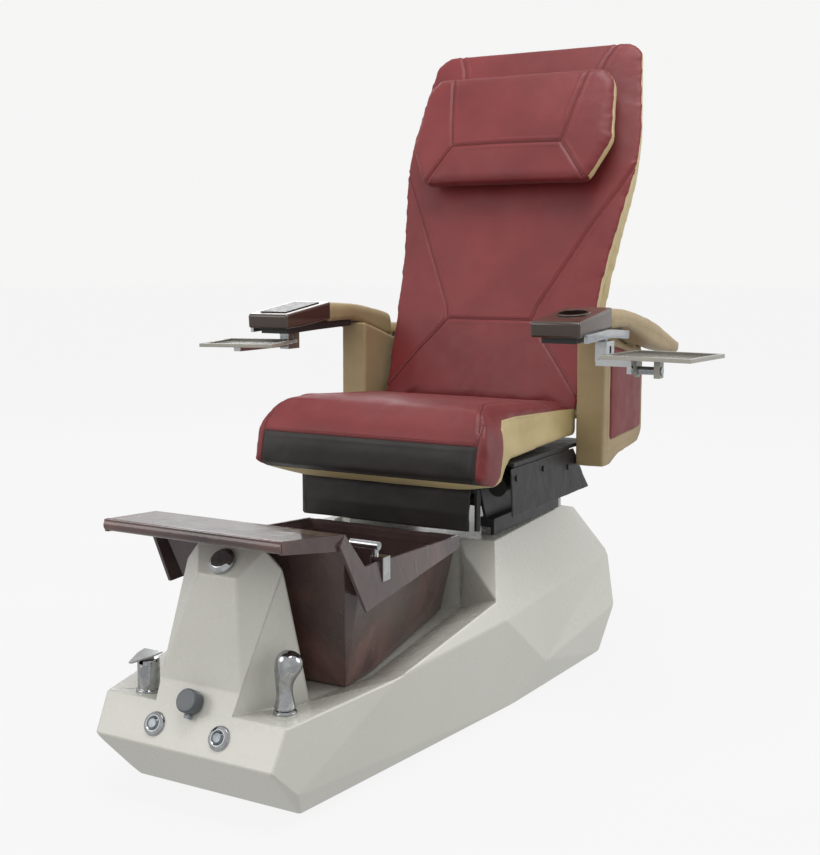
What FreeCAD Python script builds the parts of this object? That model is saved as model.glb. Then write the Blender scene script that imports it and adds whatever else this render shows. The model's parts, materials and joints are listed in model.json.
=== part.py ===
"""Pedicure spa chair: faceted base, foot basin, sliding seat, reclining massage back, lifting arms.

Millimetres. +Z is up, the sitter faces -Y and +X is the sitter's left. The floor is Z = 0.
"""
import FreeCAD, Part
import math
import os

import Sketcher

V = FreeCAD.Vector
doc = FreeCAD.newDocument("pedicure_chair")
sheet = doc.addObject("Spreadsheet::Sheet", "Sizes")

SIZES = {
    "shell_wall": 9,          # moulded base, wall thickness
    "pedestal_top": 335,      # flat top that the slide rails stand on
    "basin_wall": 5,
    "fit": 0.05,              # radial running clearance
    "gap": 0.3,               # clearance between faces that pass each other
    "pan_z": 492,             # underside of the seat pan
    "pan_half": 262,
    "pan_thick": 8,
    "seat_half": 254,         # half width of the seat cushion
    "back_y": 323,            # foot of the back's front surface
    "back_z": 584,
    "back_lean": 21.3,        # degrees from upright
    "cushion_thick": 62,
    "back_thick": 106,
    "recline_y": 375,
    "recline_z": 520,
    "recline_lever": 90,      # recline pivot to actuator pin
    "recline_sweep": 32,      # degrees
    "actuator_z": 432,
    "arm_inner": 286,
    "arm_outer": 390,
    "arm_rear_inner": 336,    # the arm is narrower behind the post's hinge
    "post_inner": 267,
    "post_outer": 332,
    "arm_pivot_y": 480,
    "arm_pivot_z": 712,
    "arm_boss_r": 30,
    "arm_pin_r": 8,
    "recline_pin_r": 6,
    "rail_inner": 160,
    "rail_width": 26,
    "rail_height": 18,
    "screw_x": 120,
    "screw_z": 400,
    "screw_r": 7,
    "massage_rail_x": 78,
    "massage_rail_n": 94,
    "massage_rail_r": 7,
    "roller_r": 28,
    "roller_start": 200,      # distance up the back
    "tray_x": 528,
    "tray_y": 57,
    "tray_z": 711,
    "tray_length": 184,
    "tray_width": 164,
    "tray_turn": 6,           # degrees
    "swing_x": 384,
    "swing_y": 130,
    "tilt_y": 85,
    "tilt_z": 684,
    "drain_y": -415,
    "jet_z": 250,
    "button_r": 11,
    "bezel_r": 21,
    "faucet_x": -131,
    "faucet_y": -670,
    "sprayer_x": 130,
    "sprayer_y": -637,
}


class Dim:
    """A number kept together with the spreadsheet expression that gives it."""

    def __init__(self, value, text=None):
        self.value = float(value)
        self.text = text or f"({float(value):.6f})"

    def combine(self, other, sign, value):
        return Dim(value, f"({self.text} {sign} {other.text})")

    def __add__(self, other):
        other = dim(other)
        return self.combine(other, "+", self.value + other.value)

    def __sub__(self, other):
        other = dim(other)
        return self.combine(other, "-", self.value - other.value)

    def __mul__(self, other):
        other = dim(other)
        return self.combine(other, "*", self.value * other.value)

    def __truediv__(self, other):
        other = dim(other)
        return self.combine(other, "/", self.value / other.value)

    def __radd__(self, other):
        return dim(other) + self

    def __rsub__(self, other):
        return dim(other) - self

    def __rmul__(self, other):
        return dim(other) * self

    def __neg__(self):
        return dim(-1) * self


def dim(number):
    return number if isinstance(number, Dim) else Dim(number)


class Sizes:
    """The driving dimensions, one attribute for each alias of the spreadsheet."""


size = Sizes()
for row, (name, number) in enumerate(SIZES.items(), start=1):
    sheet.set(f"A{row}", name)
    sheet.set(f"B{row}", str(number))
    sheet.setAlias(f"B{row}", name)
    setattr(size, name, Dim(number, f"Sizes.{name}"))
doc.recompute()

parts = {}


# ---------------------------------------------------------------- building blocks

def bind(obj, prop, value):
    """Set a property, and tie it to the spreadsheet where it comes from there."""
    value = dim(value)
    if "Sizes." in value.text:
        obj.setExpression(prop, value.text)
    return value.value


def place(obj, x=0, y=0, z=0, axis=None, angle=0):
    """Give an object its position, bound to the sheet, and a turn about one axis."""
    rotation = FreeCAD.Rotation(axis, dim(angle).value) if axis else FreeCAD.Rotation()
    base = V(*(dim(number).value for number in (x, y, z)))
    obj.Placement = FreeCAD.Placement(base, rotation)
    for name, number in zip("xyz", (x, y, z)):
        bind(obj, f"Placement.Base.{name}", number)


def box(low, high):
    """A block from its low corner to its high corner."""
    obj = doc.addObject("Part::Box", "Block")
    for prop, lo, hi in zip(("Length", "Width", "Height"), low, high):
        setattr(obj, prop, bind(obj, prop, dim(hi) - lo))
    place(obj, *low)
    return obj


AXIS_TURN = {"X": (V(0, 1, 0), 90), "Y": (V(1, 0, 0), -90), "Z": (None, 0)}


def cylinder(radius, start, length, axis="Z"):
    """A round bar from start, running along +axis."""
    obj = doc.addObject("Part::Cylinder", "Bar")
    obj.Radius = bind(obj, "Radius", radius)
    obj.Height = bind(obj, "Height", length)
    place(obj, *start, *AXIS_TURN[axis])
    return obj


def fuse(*pieces):
    obj = doc.addObject("Part::MultiFuse", "Joined")
    obj.Shapes = list(pieces)
    return obj


def cut(base, *tools):
    tool = tools[0] if len(tools) == 1 else fuse(*tools)
    obj = doc.addObject("Part::Cut", "Trimmed")
    obj.Base = base
    obj.Tool = tool
    return obj


def group(*pieces):
    """Separate solids that are kept in one node."""
    obj = doc.addObject("Part::Compound", "Set")
    obj.Links = list(pieces)
    return obj


def mirror(piece):
    """The same piece on the other side of the chair."""
    obj = doc.addObject("Part::Mirroring", "Mirrored")
    obj.Source = piece
    obj.Normal = V(1, 0, 0)
    return obj


def feature(shape):
    """An object for a form that neither primitives nor sketches suit."""
    obj = doc.addObject("Part::Feature", "Form")
    obj.Shape = shape
    return obj


def node(label, obj):
    """Name a finished sub-part."""
    obj.Label = label
    parts[label] = obj
    return obj


def on_plane(body, role):
    for item in body.Origin.OriginFeatures:
        if item.Role == role:
            return item
    raise ValueError(role)


def rounded_outline(points):
    """Line and arc segments of a closed outline; a third number is that corner's radius."""
    corners = []
    count = len(points)
    for index, point in enumerate(points):
        here = V(dim(point[0]).value, dim(point[1]).value, 0)
        radius = point[2] if len(point) > 2 else 0
        if not radius:
            corners.append((here, here, None))
            continue
        before = V(dim(points[index - 1][0]).value, dim(points[index - 1][1]).value, 0)
        after_point = points[(index + 1) % count]
        after = V(dim(after_point[0]).value, dim(after_point[1]).value, 0)
        back = (before - here).normalize()
        ahead = (after - here).normalize()
        half = back.getAngle(ahead) / 2
        reach = radius / math.tan(half)
        middle = here + (back + ahead).normalize() * (radius / math.sin(half) - radius)
        corners.append((here + back * reach, here + ahead * reach, middle))
    segments = []
    for index, (start, end, middle) in enumerate(corners):
        if middle is not None:
            segments.append(Part.Arc(start, middle, end))
        following = corners[(index + 1) % count][0]
        if (following - end).Length > 1e-6:
            segments.append(Part.LineSegment(end, following))
    return segments


def draw(sketch, points):
    """Draw a closed outline; plain corners that come from the sheet are constrained to it."""
    plain = all(len(point) == 2 for point in points)
    segments = rounded_outline(points)
    sketch.addGeometry(segments, False)
    count = len(segments)
    if not plain:
        return
    for index in range(count):
        sketch.addConstraint(Sketcher.Constraint("Coincident", index, 2, (index + 1) % count, 1))
    for index, point in enumerate(points):
        for kind, number in (("DistanceX", point[0]), ("DistanceY", point[1])):
            number = dim(number)
            if "Sizes." not in number.text:
                continue
            at = sketch.addConstraint(Sketcher.Constraint(kind, -1, 1, index, 1, number.value))
            sketch.setExpression(f"Constraints[{at}]", number.text)


PLANES = {"YZ": ("YZ_Plane", 1), "XZ": ("XZ_Plane", -1), "XY": ("XY_Plane", 1)}


def padded(plane, points, low, high, pockets=()):
    """A body padded from low to high along the axis that the sketch plane leaves out.

    Each pocket is (points, low, high) on the same plane.
    """
    role, sign = PLANES[plane]
    body = doc.addObject("PartDesign::Body", "Body")

    def sketch_at(outline, level):
        sketch = body.newObject("Sketcher::SketchObject", "Outline")
        sketch.AttachmentSupport = (on_plane(body, role), [""])
        sketch.MapMode = "FlatFace"
        level = dim(level) * sign
        sketch.AttachmentOffset = FreeCAD.Placement(V(0, 0, level.value), FreeCAD.Rotation())
        bind(sketch, "AttachmentOffset.Base.z", level)
        draw(sketch, outline)
        return sketch

    pad = body.newObject("PartDesign::Pad", "Pad")
    pad.Profile = sketch_at(points, low if sign > 0 else high)
    pad.Length = bind(pad, "Length", dim(high) - low)
    doc.recompute()
    for outline, start, end in pockets:
        pocket = body.newObject("PartDesign::Pocket", "Pocket")
        pocket.Profile = sketch_at(outline, end if sign > 0 else start)
        pocket.Length = bind(pocket, "Length", dim(end) - start)
        doc.recompute()
        if pocket.Shape.Volume > pad.Shape.Volume - 1:
            raise ValueError("a pocket points away from its solid")
    return body


def turned(profile, x=0, y=0, z=0, lean=0):
    """A body of revolution about its own Z; the profile is (radius, height) pairs.

    lean tips the axis about X.
    """
    body = doc.addObject("PartDesign::Body", "Body")
    sketch = body.newObject("Sketcher::SketchObject", "Profile")
    sketch.AttachmentSupport = (on_plane(body, "XZ_Plane"), [""])
    sketch.MapMode = "FlatFace"
    draw(sketch, profile)
    spin = body.newObject("PartDesign::Revolution", "Revolution")
    spin.Profile = sketch
    spin.ReferenceAxis = (sketch, ["V_Axis"])
    spin.Angle = 360
    place(body, x, y, z, V(1, 0, 0), lean)
    return body


def polyhedron(points, side_faces, centre_faces):
    """A closed solid, symmetric about X = 0, from its +X corners.

    side_faces are corner names on the +X side; centre_faces list +X names in order, and run
    back through their mirror images.
    """
    faces = []

    def add(corners):
        faces.append(Part.Face(Part.makePolygon([*corners, corners[0]])))

    for names in side_faces:
        add([V(*points[name]) for name in names])
        add([V(-points[name][0], *points[name][1:]) for name in reversed(names)])
    for names in centre_faces:
        right = [V(*points[name]) for name in names]
        left = [V(-corner.x, corner.y, corner.z) for corner in reversed(right)]
        add(right + left)
    solid = Part.makeSolid(Part.makeShell(faces))
    if solid.Volume < 0:
        solid.reverse()
    return solid


def shifted(points, inward, distance):
    """Move each corner inward along its own (x, y, z) signs."""
    return {
        name: tuple(c + distance * s for c, s in zip(points[name], inward[name]))
        for name in points
    }


# ---------------------------------------------------------------- base moulding

HULL = {
    "a0": (170, -655, 0), "a1": (257, -10, 0), "a2": (282, 400, 0),
    "a3": (235, 520, 0), "a4": (110, 575, 0),
    "b0": (183, -749, 104), "b1": (192, -692, 50),
    "c0": (187, -713, 169), "c1": (237, -446, 181), "c2": (262, -107, 238),
    "p6": (277, -92, 198), "p8": (250, 535, 204), "p9": (289, 478, 96), "p10": (285, 87, 66),
    "t0": (137, -29, 335), "t1": (212, -15, 335), "t2": (188, 397, 335),
    "t3": (186, 472, 318), "t4": (180, 519, 263), "e1": (165, -54, 308),
    "r1": (110, 600, 210), "r2": (115, 600, 95),
    "k0": (110, -600, 152), "k1": (140, -380, 148), "k2": (150, -43, 196),
}
HULL_INWARD = {
    "a0": (-1, 1, 0), "a1": (-1, 0, 0), "a2": (-1, 0, 0), "a3": (-1, -1, 0), "a4": (-1, -1, 0),
    "b0": (-1, 1, 0), "b1": (-1, 1, 0),
    "c0": (-1, 1, -1), "c1": (-1, 0, -1), "c2": (-1, 0.6, -1),
    "p6": (-1, 0.6, 0), "p8": (-1, -1, -0.5), "p9": (-1, -1, 0), "p10": (-1, 0, 0),
    "t0": (-0.5, 1, -1), "t1": (-1, 1, -1), "t2": (-1, -0.6, -1),
    "t3": (-1, -1, -1), "t4": (-1, -1, -1), "e1": (-0.5, 1, -0.6),
    "r1": (-1, -1, -1), "r2": (-1, -1, 0),
    "k0": (0, 0, -1), "k1": (0, 0, -1), "k2": (0, 1, -1),
}
HULL_SIDES = [
    "a0 a1 b1", "a1 p6 b1", "a1 p10 p6", "p6 p10 p8", "p8 p10 p9", "a1 a2 p10", "a2 p9 p10",
    "a2 a3 p9", "p8 p9 r2", "p8 r2 r1", "p9 a3 a4", "p9 a4 r2", "b0 b1 a0", "b0 c0 b1",
    "c0 c1 b1", "c1 p6 b1", "c1 c2 p6", "c2 t1 p6", "t1 t2 p6", "t2 p8 p6", "t2 t3 p8",
    "t3 t4 p8", "t4 p8 r1", "t0 t1 e1", "e1 t1 c2", "e1 c2 k2", "t0 e1 k2", "c2 k2 k1",
    "c2 k1 c1", "c1 k1 k0", "c1 k0 c0",
]
HULL_CENTRE = [
    "b0 a0", "c0 b0", "t2 t3", "t3 t4", "t4 r1", "r1 r2", "r2 a4", "t0 t1 t2", "t0 k2",
    "k2 k1", "k1 k0", "k0 c0", "a0 a1 a2 a3 a4",
]
TOWER = {
    "u1": (75, -706, 130), "u2": (115, -545, 130), "u3": (72, -488, 130),
    "f1": (75, -713, 169), "f2": (84, -695.28, 201), "f3": (40, -644, 376),
    "f5": (70, -603, 420), "s1": (115, -545, 157), "s2": (100, -595, 388),
    "s3": (72, -488, 150), "s4": (55, -560, 398),
}
TOWER_INWARD = {
    "u1": (-1, 1, 0), "u2": (-1, 0, 0), "u3": (-1, -1, 0),
    "f1": (-1, 1, 0), "f2": (-1, 1, 0), "f3": (-0.6, 1, -1),
    "f5": (-1, 0, -1.3), "s1": (-1, 0, 0), "s2": (-1, 0, 0),
    "s3": (-1, -1, 0), "s4": (-1, -1, -1.3),
}
TOWER_SIDES = [
    "u1 u2 s1", "u1 s1 f1", "u2 u3 s3", "u2 s3 s1", "f1 s1 s2", "f1 s2 f2", "f2 s2 f3",
    "f3 s2 f5", "s1 s3 s2", "s3 s4 s2", "s2 s4 f5",
]
TOWER_CENTRE = ["u1 f1", "f1 f2", "f2 f3", "f3 f5", "f5 s4", "s4 s3", "s3 u3", "u1 u2 u3"]

CONTROL_LEAN = math.degrees(math.atan2(65, 36))        # control face normal, from upright
CONTROL_FOOT = V(0, -749, 104)                         # front edge of the control face
KNOB_LEAN = math.degrees(math.atan2(44, 41))           # drain knob facet normal
BASIN_FLOOR = 153                                      # underside of the basin
BASIN_FALL = 446 - BASIN_FLOOR                         # basin front wall, height and lean
BASIN_RUN = 560 - 463
BASIN_LEAN = -math.degrees(math.atan2(BASIN_FALL, BASIN_RUN))
DECK_SLOPE = (169 - 152) / (713 - 600)


def names(rows):
    return [row.split() for row in rows]


def on_control_face(x, height):
    """A point on the slanted control face at a given height."""
    return V(x, CONTROL_FOOT.y + (height - CONTROL_FOOT.z) * 36 / 65, height)


def deck_height(y):
    """Height of the sloping front deck."""
    return 152 + (-600 - y) * DECK_SLOPE


def on_basin_front(x, height):
    """A point on the outer face of the basin's leaning front wall."""
    return V(x, -463 - (height - BASIN_FLOOR) * BASIN_RUN / BASIN_FALL, height)


def drill(centre, lean, radius, low, high):
    """A round tool about a leaning axis, for a hole."""
    tool = cylinder(radius, (0, 0, 0), high - low)
    turn = FreeCAD.Rotation(V(1, 0, 0), lean)
    tool.Placement = FreeCAD.Placement(centre + turn.multVec(V(0, 0, low)), turn)
    return tool


BUTTON_LEFT = on_control_face(67, 136)
BUTTON_RIGHT = on_control_face(-67, 136)
KNOB_AT = on_control_face(0, 176)
DRAIN_KNOB_AT = V(0, -626, 395.3)
JET_AT = on_basin_front(0, SIZES["jet_z"])
LIGHT_AT = on_basin_front(120, SIZES["jet_z"])
BEZEL_SHANK = 14
RECESS = 3.6                                           # spot face under the deck fittings
INLET = (28, 21)                                       # power inlet body, width and height


def base_shell():
    wall = size.shell_wall.value
    hull = feature(polyhedron(HULL, names(HULL_SIDES), names(HULL_CENTRE)))
    tower = feature(polyhedron(TOWER, names(TOWER_SIDES), names(TOWER_CENTRE)))
    hollow_points = shifted(HULL, HULL_INWARD, wall)
    for name in ("a0", "a1", "a2", "a3", "a4"):
        hollow_points[name] = (*hollow_points[name][:2], -1)
    hollow = feature(polyhedron(hollow_points, names(HULL_SIDES), names(HULL_CENTRE)))
    tower_points = shifted(TOWER, TOWER_INWARD, wall)
    tower_hollow = feature(polyhedron(tower_points, names(TOWER_SIDES), names(TOWER_CENTRE)))
    holes = [hollow, tower_hollow]
    for centre in (BUTTON_LEFT, BUTTON_RIGHT):
        holes.append(drill(centre, CONTROL_LEAN, BEZEL_SHANK + 0.1, -30, 10))
    holes.append(drill(KNOB_AT, CONTROL_LEAN, 4.05, -30, 10))
    holes.append(drill(DRAIN_KNOB_AT, KNOB_LEAN, 6.05, -30, 10))
    holes.append(drill(JET_AT, BASIN_LEAN, 44, -60, 20))
    holes.append(cylinder(24, (0, size.drain_y, 100), 60))
    for x, y, radius in ((size.faucet_x, size.faucet_y, 22.7), (size.sprayer_x, size.sprayer_y, 20.2)):
        seat = deck_height(y.value) - RECESS
        holes.append(cylinder(radius, (x, y, seat), 20))
        holes.append(cylinder(13.1, (x, y, seat - 30), 40))
    width, height = INLET
    holes.append(box((60 - width / 2 - 0.2, 570, 150 - height / 2 - 0.2),
                     (60 + width / 2 + 0.2, 610, 150 + height / 2 + 0.2)))
    node("base_shell", cut(fuse(hull, tower), *holes))


# ---------------------------------------------------------------- foot basin

BOWL = {
    "o0": (198, -560, 446), "o1": (198, -504, 383), "o2": (173, -108, 354),
    "o3": (138, -463, 153), "o4": (134, -370, 153), "o5": (125, -84, 198),
}
BOWL_INWARD = {
    "o0": (-1, 1, 1.2), "o1": (-1, 0.8, 1.2), "o2": (-1, -1, 1.2),
    "o3": (-1, 1, 1.2), "o4": (-1, 0.4, 1.2), "o5": (-1, -1, 1.2),
}
BOWL_SIDES = ["o0 o1 o3", "o1 o4 o3", "o1 o2 o4", "o2 o5 o4"]
BOWL_CENTRE = ["o0 o3", "o3 o4", "o4 o5", "o5 o2", "o2 o1", "o1 o0"]
SHELF_FRONT = V(180, -714, 467)
SHELF_BACK = V(200, -560, 452)
FLANGE_CORNERS = (V(200, -560, 452), V(178, -105, 360), V(214, -515, 312))
FLANGE_OUTLINE = [(-560, 452), (-504, 386), (-105, 360), (-105, 337), (-515, 312), (-580, 436)]
FLANGE_THICK = 6
SHELF_THICK = 10
SHELF_BAR_R = 10.5


def slab(corners, thickness):
    """A flat plate from its outer corners, thickened by a vector."""
    return Part.Face(Part.makePolygon([*corners, corners[0]])).extrude(thickness)


def flange_shape():
    """The apron plate that hangs outside the basin's +X rim."""
    a, b, c = FLANGE_CORNERS
    normal = (b - a).cross(c - a)
    corners = [
        V(a.x - (normal.y * (y - a.y) + normal.z * (z - a.z)) / normal.x, y, z)
        for y, z in FLANGE_OUTLINE
    ]
    return slab(corners, V(-FLANGE_THICK, 0, 0))


def shelf_side_shape():
    """The upright side band of the footrest shelf."""
    corners = [
        SHELF_FRONT + V(1, 2, 0), SHELF_BACK, SHELF_BACK - V(0, 0, 28), SHELF_FRONT + V(1, 2, -21),
    ]
    return slab(corners, V(-FLANGE_THICK, 0, 0))


def flip(shape):
    return shape.mirror(V(0, 0, 0), V(1, 0, 0))


def basin():
    outer = feature(polyhedron(BOWL, names(BOWL_SIDES), names(BOWL_CENTRE)))
    inner_points = shifted(BOWL, BOWL_INWARD, size.basin_wall.value)
    inner = feature(polyhedron(inner_points, names(BOWL_SIDES), names(BOWL_CENTRE)))
    bowl = cut(outer, inner)
    shelf_top = [
        SHELF_FRONT, SHELF_BACK, V(-SHELF_BACK.x, SHELF_BACK.y, SHELF_BACK.z),
        V(-SHELF_FRONT.x, SHELF_FRONT.y, SHELF_FRONT.z),
    ]
    shelf = feature(slab(shelf_top, V(0, 0, -SHELF_THICK)))
    length = 2 * SHELF_FRONT.x
    bar = cylinder(SHELF_BAR_R, (-SHELF_FRONT.x, -706, 457), length, "X")
    rear_band = box((-175, -111, 338), (175, -105, 360))
    pieces = [bowl, shelf, bar, rear_band]
    for shape in (flange_shape(), shelf_side_shape()):
        pieces += [feature(shape), feature(flip(shape))]
    drain_hole = cylinder(22, (0, size.drain_y, 140), 30)
    node("basin", cut(fuse(*pieces), drain_hole))


def drain():
    """Strainer body with a cross bar that guides the pop-up plug."""
    floor_in = BASIN_FLOOR + 1.2 * size.basin_wall
    body = turned([(18, 60), (21.8, 60), (21.8, floor_in + 0.1), (30, floor_in + 0.1),
                   (30, floor_in + 2), (18, floor_in + 2)], 0, size.drain_y, 0)
    guide = box((-19, size.drain_y - 7, 96), (19, size.drain_y + 7, 104))
    bore = cylinder(4 + size.fit, (0, size.drain_y, 90), 20)
    node("basin_drain", cut(fuse(body, guide), bore))
    stem_low = 84
    node("drain_stopper", turned(
        [(0, stem_low), (4, stem_low), (4, floor_in + 2.3), (25, floor_in + 2.3),
         (25, floor_in + 5, 1.5), (6, floor_in + 9), (0, floor_in + 9)], 0, size.drain_y, 0))


def drain_knob():
    node("drain_knob", turned(
        [(0, -24), (6, -24), (6, 0.4), (24, 0.4), (24, 7, 3), (17, 13, 6), (0, 15)],
        *DRAIN_KNOB_AT, KNOB_LEAN))


def jet():
    """Magnet-driven water jet: motor outside the front wall, rotor and cover inside."""
    on_wall = 6.7
    node("jet_motor", turned(
        [(0, -92), (36, -92, 6), (36, -14), (42, -14), (42, -0.4), (0, -0.4)],
        *JET_AT, BASIN_LEAN))
    cover = turned(
        [(0, 28), (30, 28), (38, 22), (38, on_wall), (34, on_wall), (34, 21), (29, 24), (3, 24),
         (3, 10), (0, 10)], *JET_AT, BASIN_LEAN)
    ports = []
    for index in range(8):
        angle = math.radians(45 * index)
        turn = FreeCAD.Rotation(V(1, 0, 0), BASIN_LEAN)
        centre = JET_AT + turn.multVec(V(18 * math.cos(angle), 18 * math.sin(angle), 0))
        ports.append(drill(centre, BASIN_LEAN, 4.5, 22, 30))
    node("jet_cover", cut(cover, *ports))
    hub = turned([(3.05, 11), (9, 11), (9, 22), (3.05, 22)], *JET_AT, BASIN_LEAN)
    blades = []
    for index in range(6):
        blade = box((8, -1.5, 12), (28, 1.5, 20))
        spin = FreeCAD.Placement(V(0, 0, 0), FreeCAD.Rotation(V(0, 0, 1), 60 * index))
        frame = FreeCAD.Placement(JET_AT, FreeCAD.Rotation(V(1, 0, 0), BASIN_LEAN))
        blade.Placement = frame.multiply(spin).multiply(blade.Placement)
        blades.append(blade)
    node("jet_impeller", fuse(hub, *blades))
    node("basin_light", turned(
        [(0, on_wall), (20, on_wall), (20, 10.5, 1), (15, 12), (0, 12.5)], *LIGHT_AT, BASIN_LEAN))


def water_spout():
    """Filler spout on a clip that hooks over the basin's rim."""
    y = -437
    saddle = box((178, y - 10, 386), (207.2, y + 10, 390))
    outer_leg = box((204.8, y - 12, 348), (207.2, y + 12, 390))
    inner_leg = box((178, y - 8, 372), (182, y + 8, 387))
    neck = cylinder(6, (184, y, 389), 16)
    nozzle = cut(cylinder(7.5, (134, y, 407), 58, "X"), cylinder(5.5, (130, y, 407), 40, "X"))
    node("water_spout", fuse(saddle, outer_leg, inner_leg, neck, nozzle))


def faucet():
    """Single-lever mixer: fixed body, cap that turns, lever that lifts on the cap."""
    x, y = size.faucet_x, size.faucet_y
    seat = deck_height(y.value) - RECESS + 0.1
    top = 53
    node("faucet_body", turned(
        [(0, -34), (13, -34), (13, 0), (22.5, 0), (22.5, 9, 2), (19, 11), (19, top), (5, top),
         (5, top - 8), (0, top - 8)], x, y, seat))
    low = top + size.gap.value
    cap = turned([(0, top - 7.7), (4.9, top - 7.7), (4.9, low), (19, low), (19, low + 9.7, 3),
                  (0, low + 9.7)], x, y, seat)
    slot = box((x - 4.3, y - 20, seat + low + 2.5), (x + 4.3, y + 20, seat + low + 16))
    pin_hole = cylinder(2.05, (x - 20, y, seat + low + 6.7), 40, "X")
    node("faucet_cap", cut(cap, slot, pin_hole))
    stalk = padded("YZ", [(-12, low + 5.3), (8, low + 5.3), (12, low + 17), (-16, low + 17)], -4, 4)
    plate = padded("XY", [(-20, 14), (-17, -8), (-3, -46), (3, -46), (17, -8), (20, 14)], 0, 2.6)
    place(plate, 0, 0, low + 16, V(1, 0, 0), 5)
    pin = cylinder(2, (-8, 0, low + 6.7), 16, "X")
    lever = fuse(stalk, plate, pin)
    place(lever, x, y, seat)
    node("faucet_lever", lever)


def sprayer():
    """Pull-out hand spray resting in a deck socket."""
    x, y = size.sprayer_x, size.sprayer_y
    seat = deck_height(y.value) - RECESS + 0.1
    node("sprayer_socket", turned(
        [(10.2, -34), (13, -34), (13, 0), (20, 0), (20, 9, 2), (17, 12), (10.2, 12)], x, y, seat))
    stem = turned([(0, -26), (10, -26), (10, 12.3), (16, 12.3), (17, 30), (15, 62), (0, 62)], x, y, seat)
    head = doc.addObject("Part::Sphere", "Head")
    head.Radius = 25
    place(head, x + 9, y + 5, seat + 78)
    node("sprayer_handle", fuse(stem, head))


def controls():
    """Round rotary knob, two air push-buttons and their bezels on the slanted face."""
    disc = turned([(0, -24), (4, -24), (4, 3), (20, 3, 1.5), (20, 26, 3), (0, 26)], *KNOB_AT, CONTROL_LEAN)
    tab = box((-5, -27, 3), (5, -17, 12))
    frame = FreeCAD.Placement(KNOB_AT, FreeCAD.Rotation(V(1, 0, 0), CONTROL_LEAN))
    tab.Placement = frame.multiply(tab.Placement)
    node("control_knob", fuse(disc, tab))
    bore = size.button_r + size.fit
    bezels = []
    for label, centre in (("air_button_left", BUTTON_LEFT), ("air_button_right", BUTTON_RIGHT)):
        bezels.append(turned(
            [(bore, -26), (BEZEL_SHANK, -26), (BEZEL_SHANK, 0.1), (size.bezel_r, 0.1),
             (size.bezel_r - 2, 4), (bore + 2, 6.5), (bore, 5)], *centre, CONTROL_LEAN))
        node(label, turned(
            [(0, -14), (size.button_r, -14), (size.button_r, 5), (size.button_r - 3, 8), (0, 8.5)],
            *centre, CONTROL_LEAN))
    node("button_bezels", group(*bezels))


def support_frame():
    """Welded square-tube frame inside the base, from the floor to the pedestal top."""
    half = 110
    tube = 25
    ceiling = size.pedestal_top - size.shell_wall
    pieces = []
    for y in (0, 380):
        pieces.append(box((-half, y - tube / 2, 0), (half, y + tube / 2, tube)))
        for x in (-half, half):
            pieces.append(box((x - tube / 2, y - tube / 2, 0), (x + tube / 2, y + tube / 2, ceiling)))
    for x in (-half, half):
        for z in (dim(0), ceiling - tube):
            pieces.append(box((x - tube / 2, 0, z), (x + tube / 2, 380, z + tube)))
    node("support_frame", fuse(*pieces))


def services():
    """Control electronics under the pedestal top, and the mains inlet in the rear face."""
    ceiling = size.pedestal_top - size.shell_wall
    node("control_box", box((-90, 150, ceiling - 90), (90, 290, ceiling)))
    width, height = INLET
    flange = box((60 - 25, 600.1, 150 - 16), (60 + 25, 603.5, 150 + 16))
    housing = box((60 - width / 2, 572, 150 - height / 2), (60 + width / 2, 600.2, 150 + height / 2))
    socket = box((60 - 11, 582, 150 - 7), (60 + 11, 610, 150 + 7))
    pins = [box((60 + dx - 1, 581, 148), (60 + dx + 1, 597, 152)) for dx in (-7, 0, 7)]
    node("power_inlet", fuse(cut(fuse(flange, housing), socket), *pins))


# ---------------------------------------------------------------- seat slide and frame

def slide():
    """Fixed rails with their bolts, sliding runners, and the screw drive between them."""
    inner = size.rail_inner
    outer = inner + size.rail_width
    top = size.pedestal_top + size.rail_height
    rail = box((inner, 30, size.pedestal_top), (outer, 392, top))
    counterbores = []
    bolts = []
    for y in (60, 210, 360):
        x = inner + size.rail_width / 2
        counterbores.append(cylinder(8, (x, y, top - 8), 10))
        counterbores.append(cylinder(4.2, (x, y, size.pedestal_top - 2), 30))
        head = cylinder(7.5, (x, y, top - 8), 6)
        shank = cylinder(4, (x, y, size.pedestal_top), 12)
        bolts += [fuse(head, shank)]
    rail = cut(rail, *counterbores)
    node("slide_rails", group(rail, mirror(rail)))
    node("rail_bolts", group(*bolts, *(mirror(bolt) for bolt in bolts)))
    gap = size.gap
    slab_top = 372
    cap = box((inner, 20, top + gap), (outer + 8, 360, slab_top))
    lip = box((outer + gap, 20, size.pedestal_top + 3), (outer + 8, 360, top + 5))
    runner = fuse(cap, lip)
    node("slide_runners", group(runner, mirror(runner)))
    x, z = size.screw_x, size.screw_z
    screw = cylinder(size.screw_r, (x, 15, z), 195, "Y")
    post = box((x - 15, 200, size.pedestal_top), (x + 15, 216, z + 15))
    node("slide_screw", fuse(screw, post))
    motor = cylinder(20, (222, -25, 448), 86, "Y")
    gearbox = box((SIDE_PLATE[1] + 0.2, 60, 425), (240, 95, 470))
    shaft = cylinder(6, (SIDE_PLATE[0] - 40, 78, 440), 50, "X")
    nut = box((x - 20, 65, z - 15), (x + 20, 95, 452))
    node("slide_motor", cut(fuse(motor, gearbox, shaft, nut),
                            cylinder(size.screw_r + size.fit, (x, 50, z), 60, "Y")))


SIDE_PLATE = (170, 176)


SKIRT_REAR = [(265, 491), (358, 392)]
SKIRT_LEFT = ([(-56, 491), *SKIRT_REAR, (-46, 392)], [(-30, 470), (102, 470), (235, 454)])
SKIRT_RIGHT = ([(50, 491), *SKIRT_REAR, (60, 392)], [(74, 470), (150, 470), (235, 454)])


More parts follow.
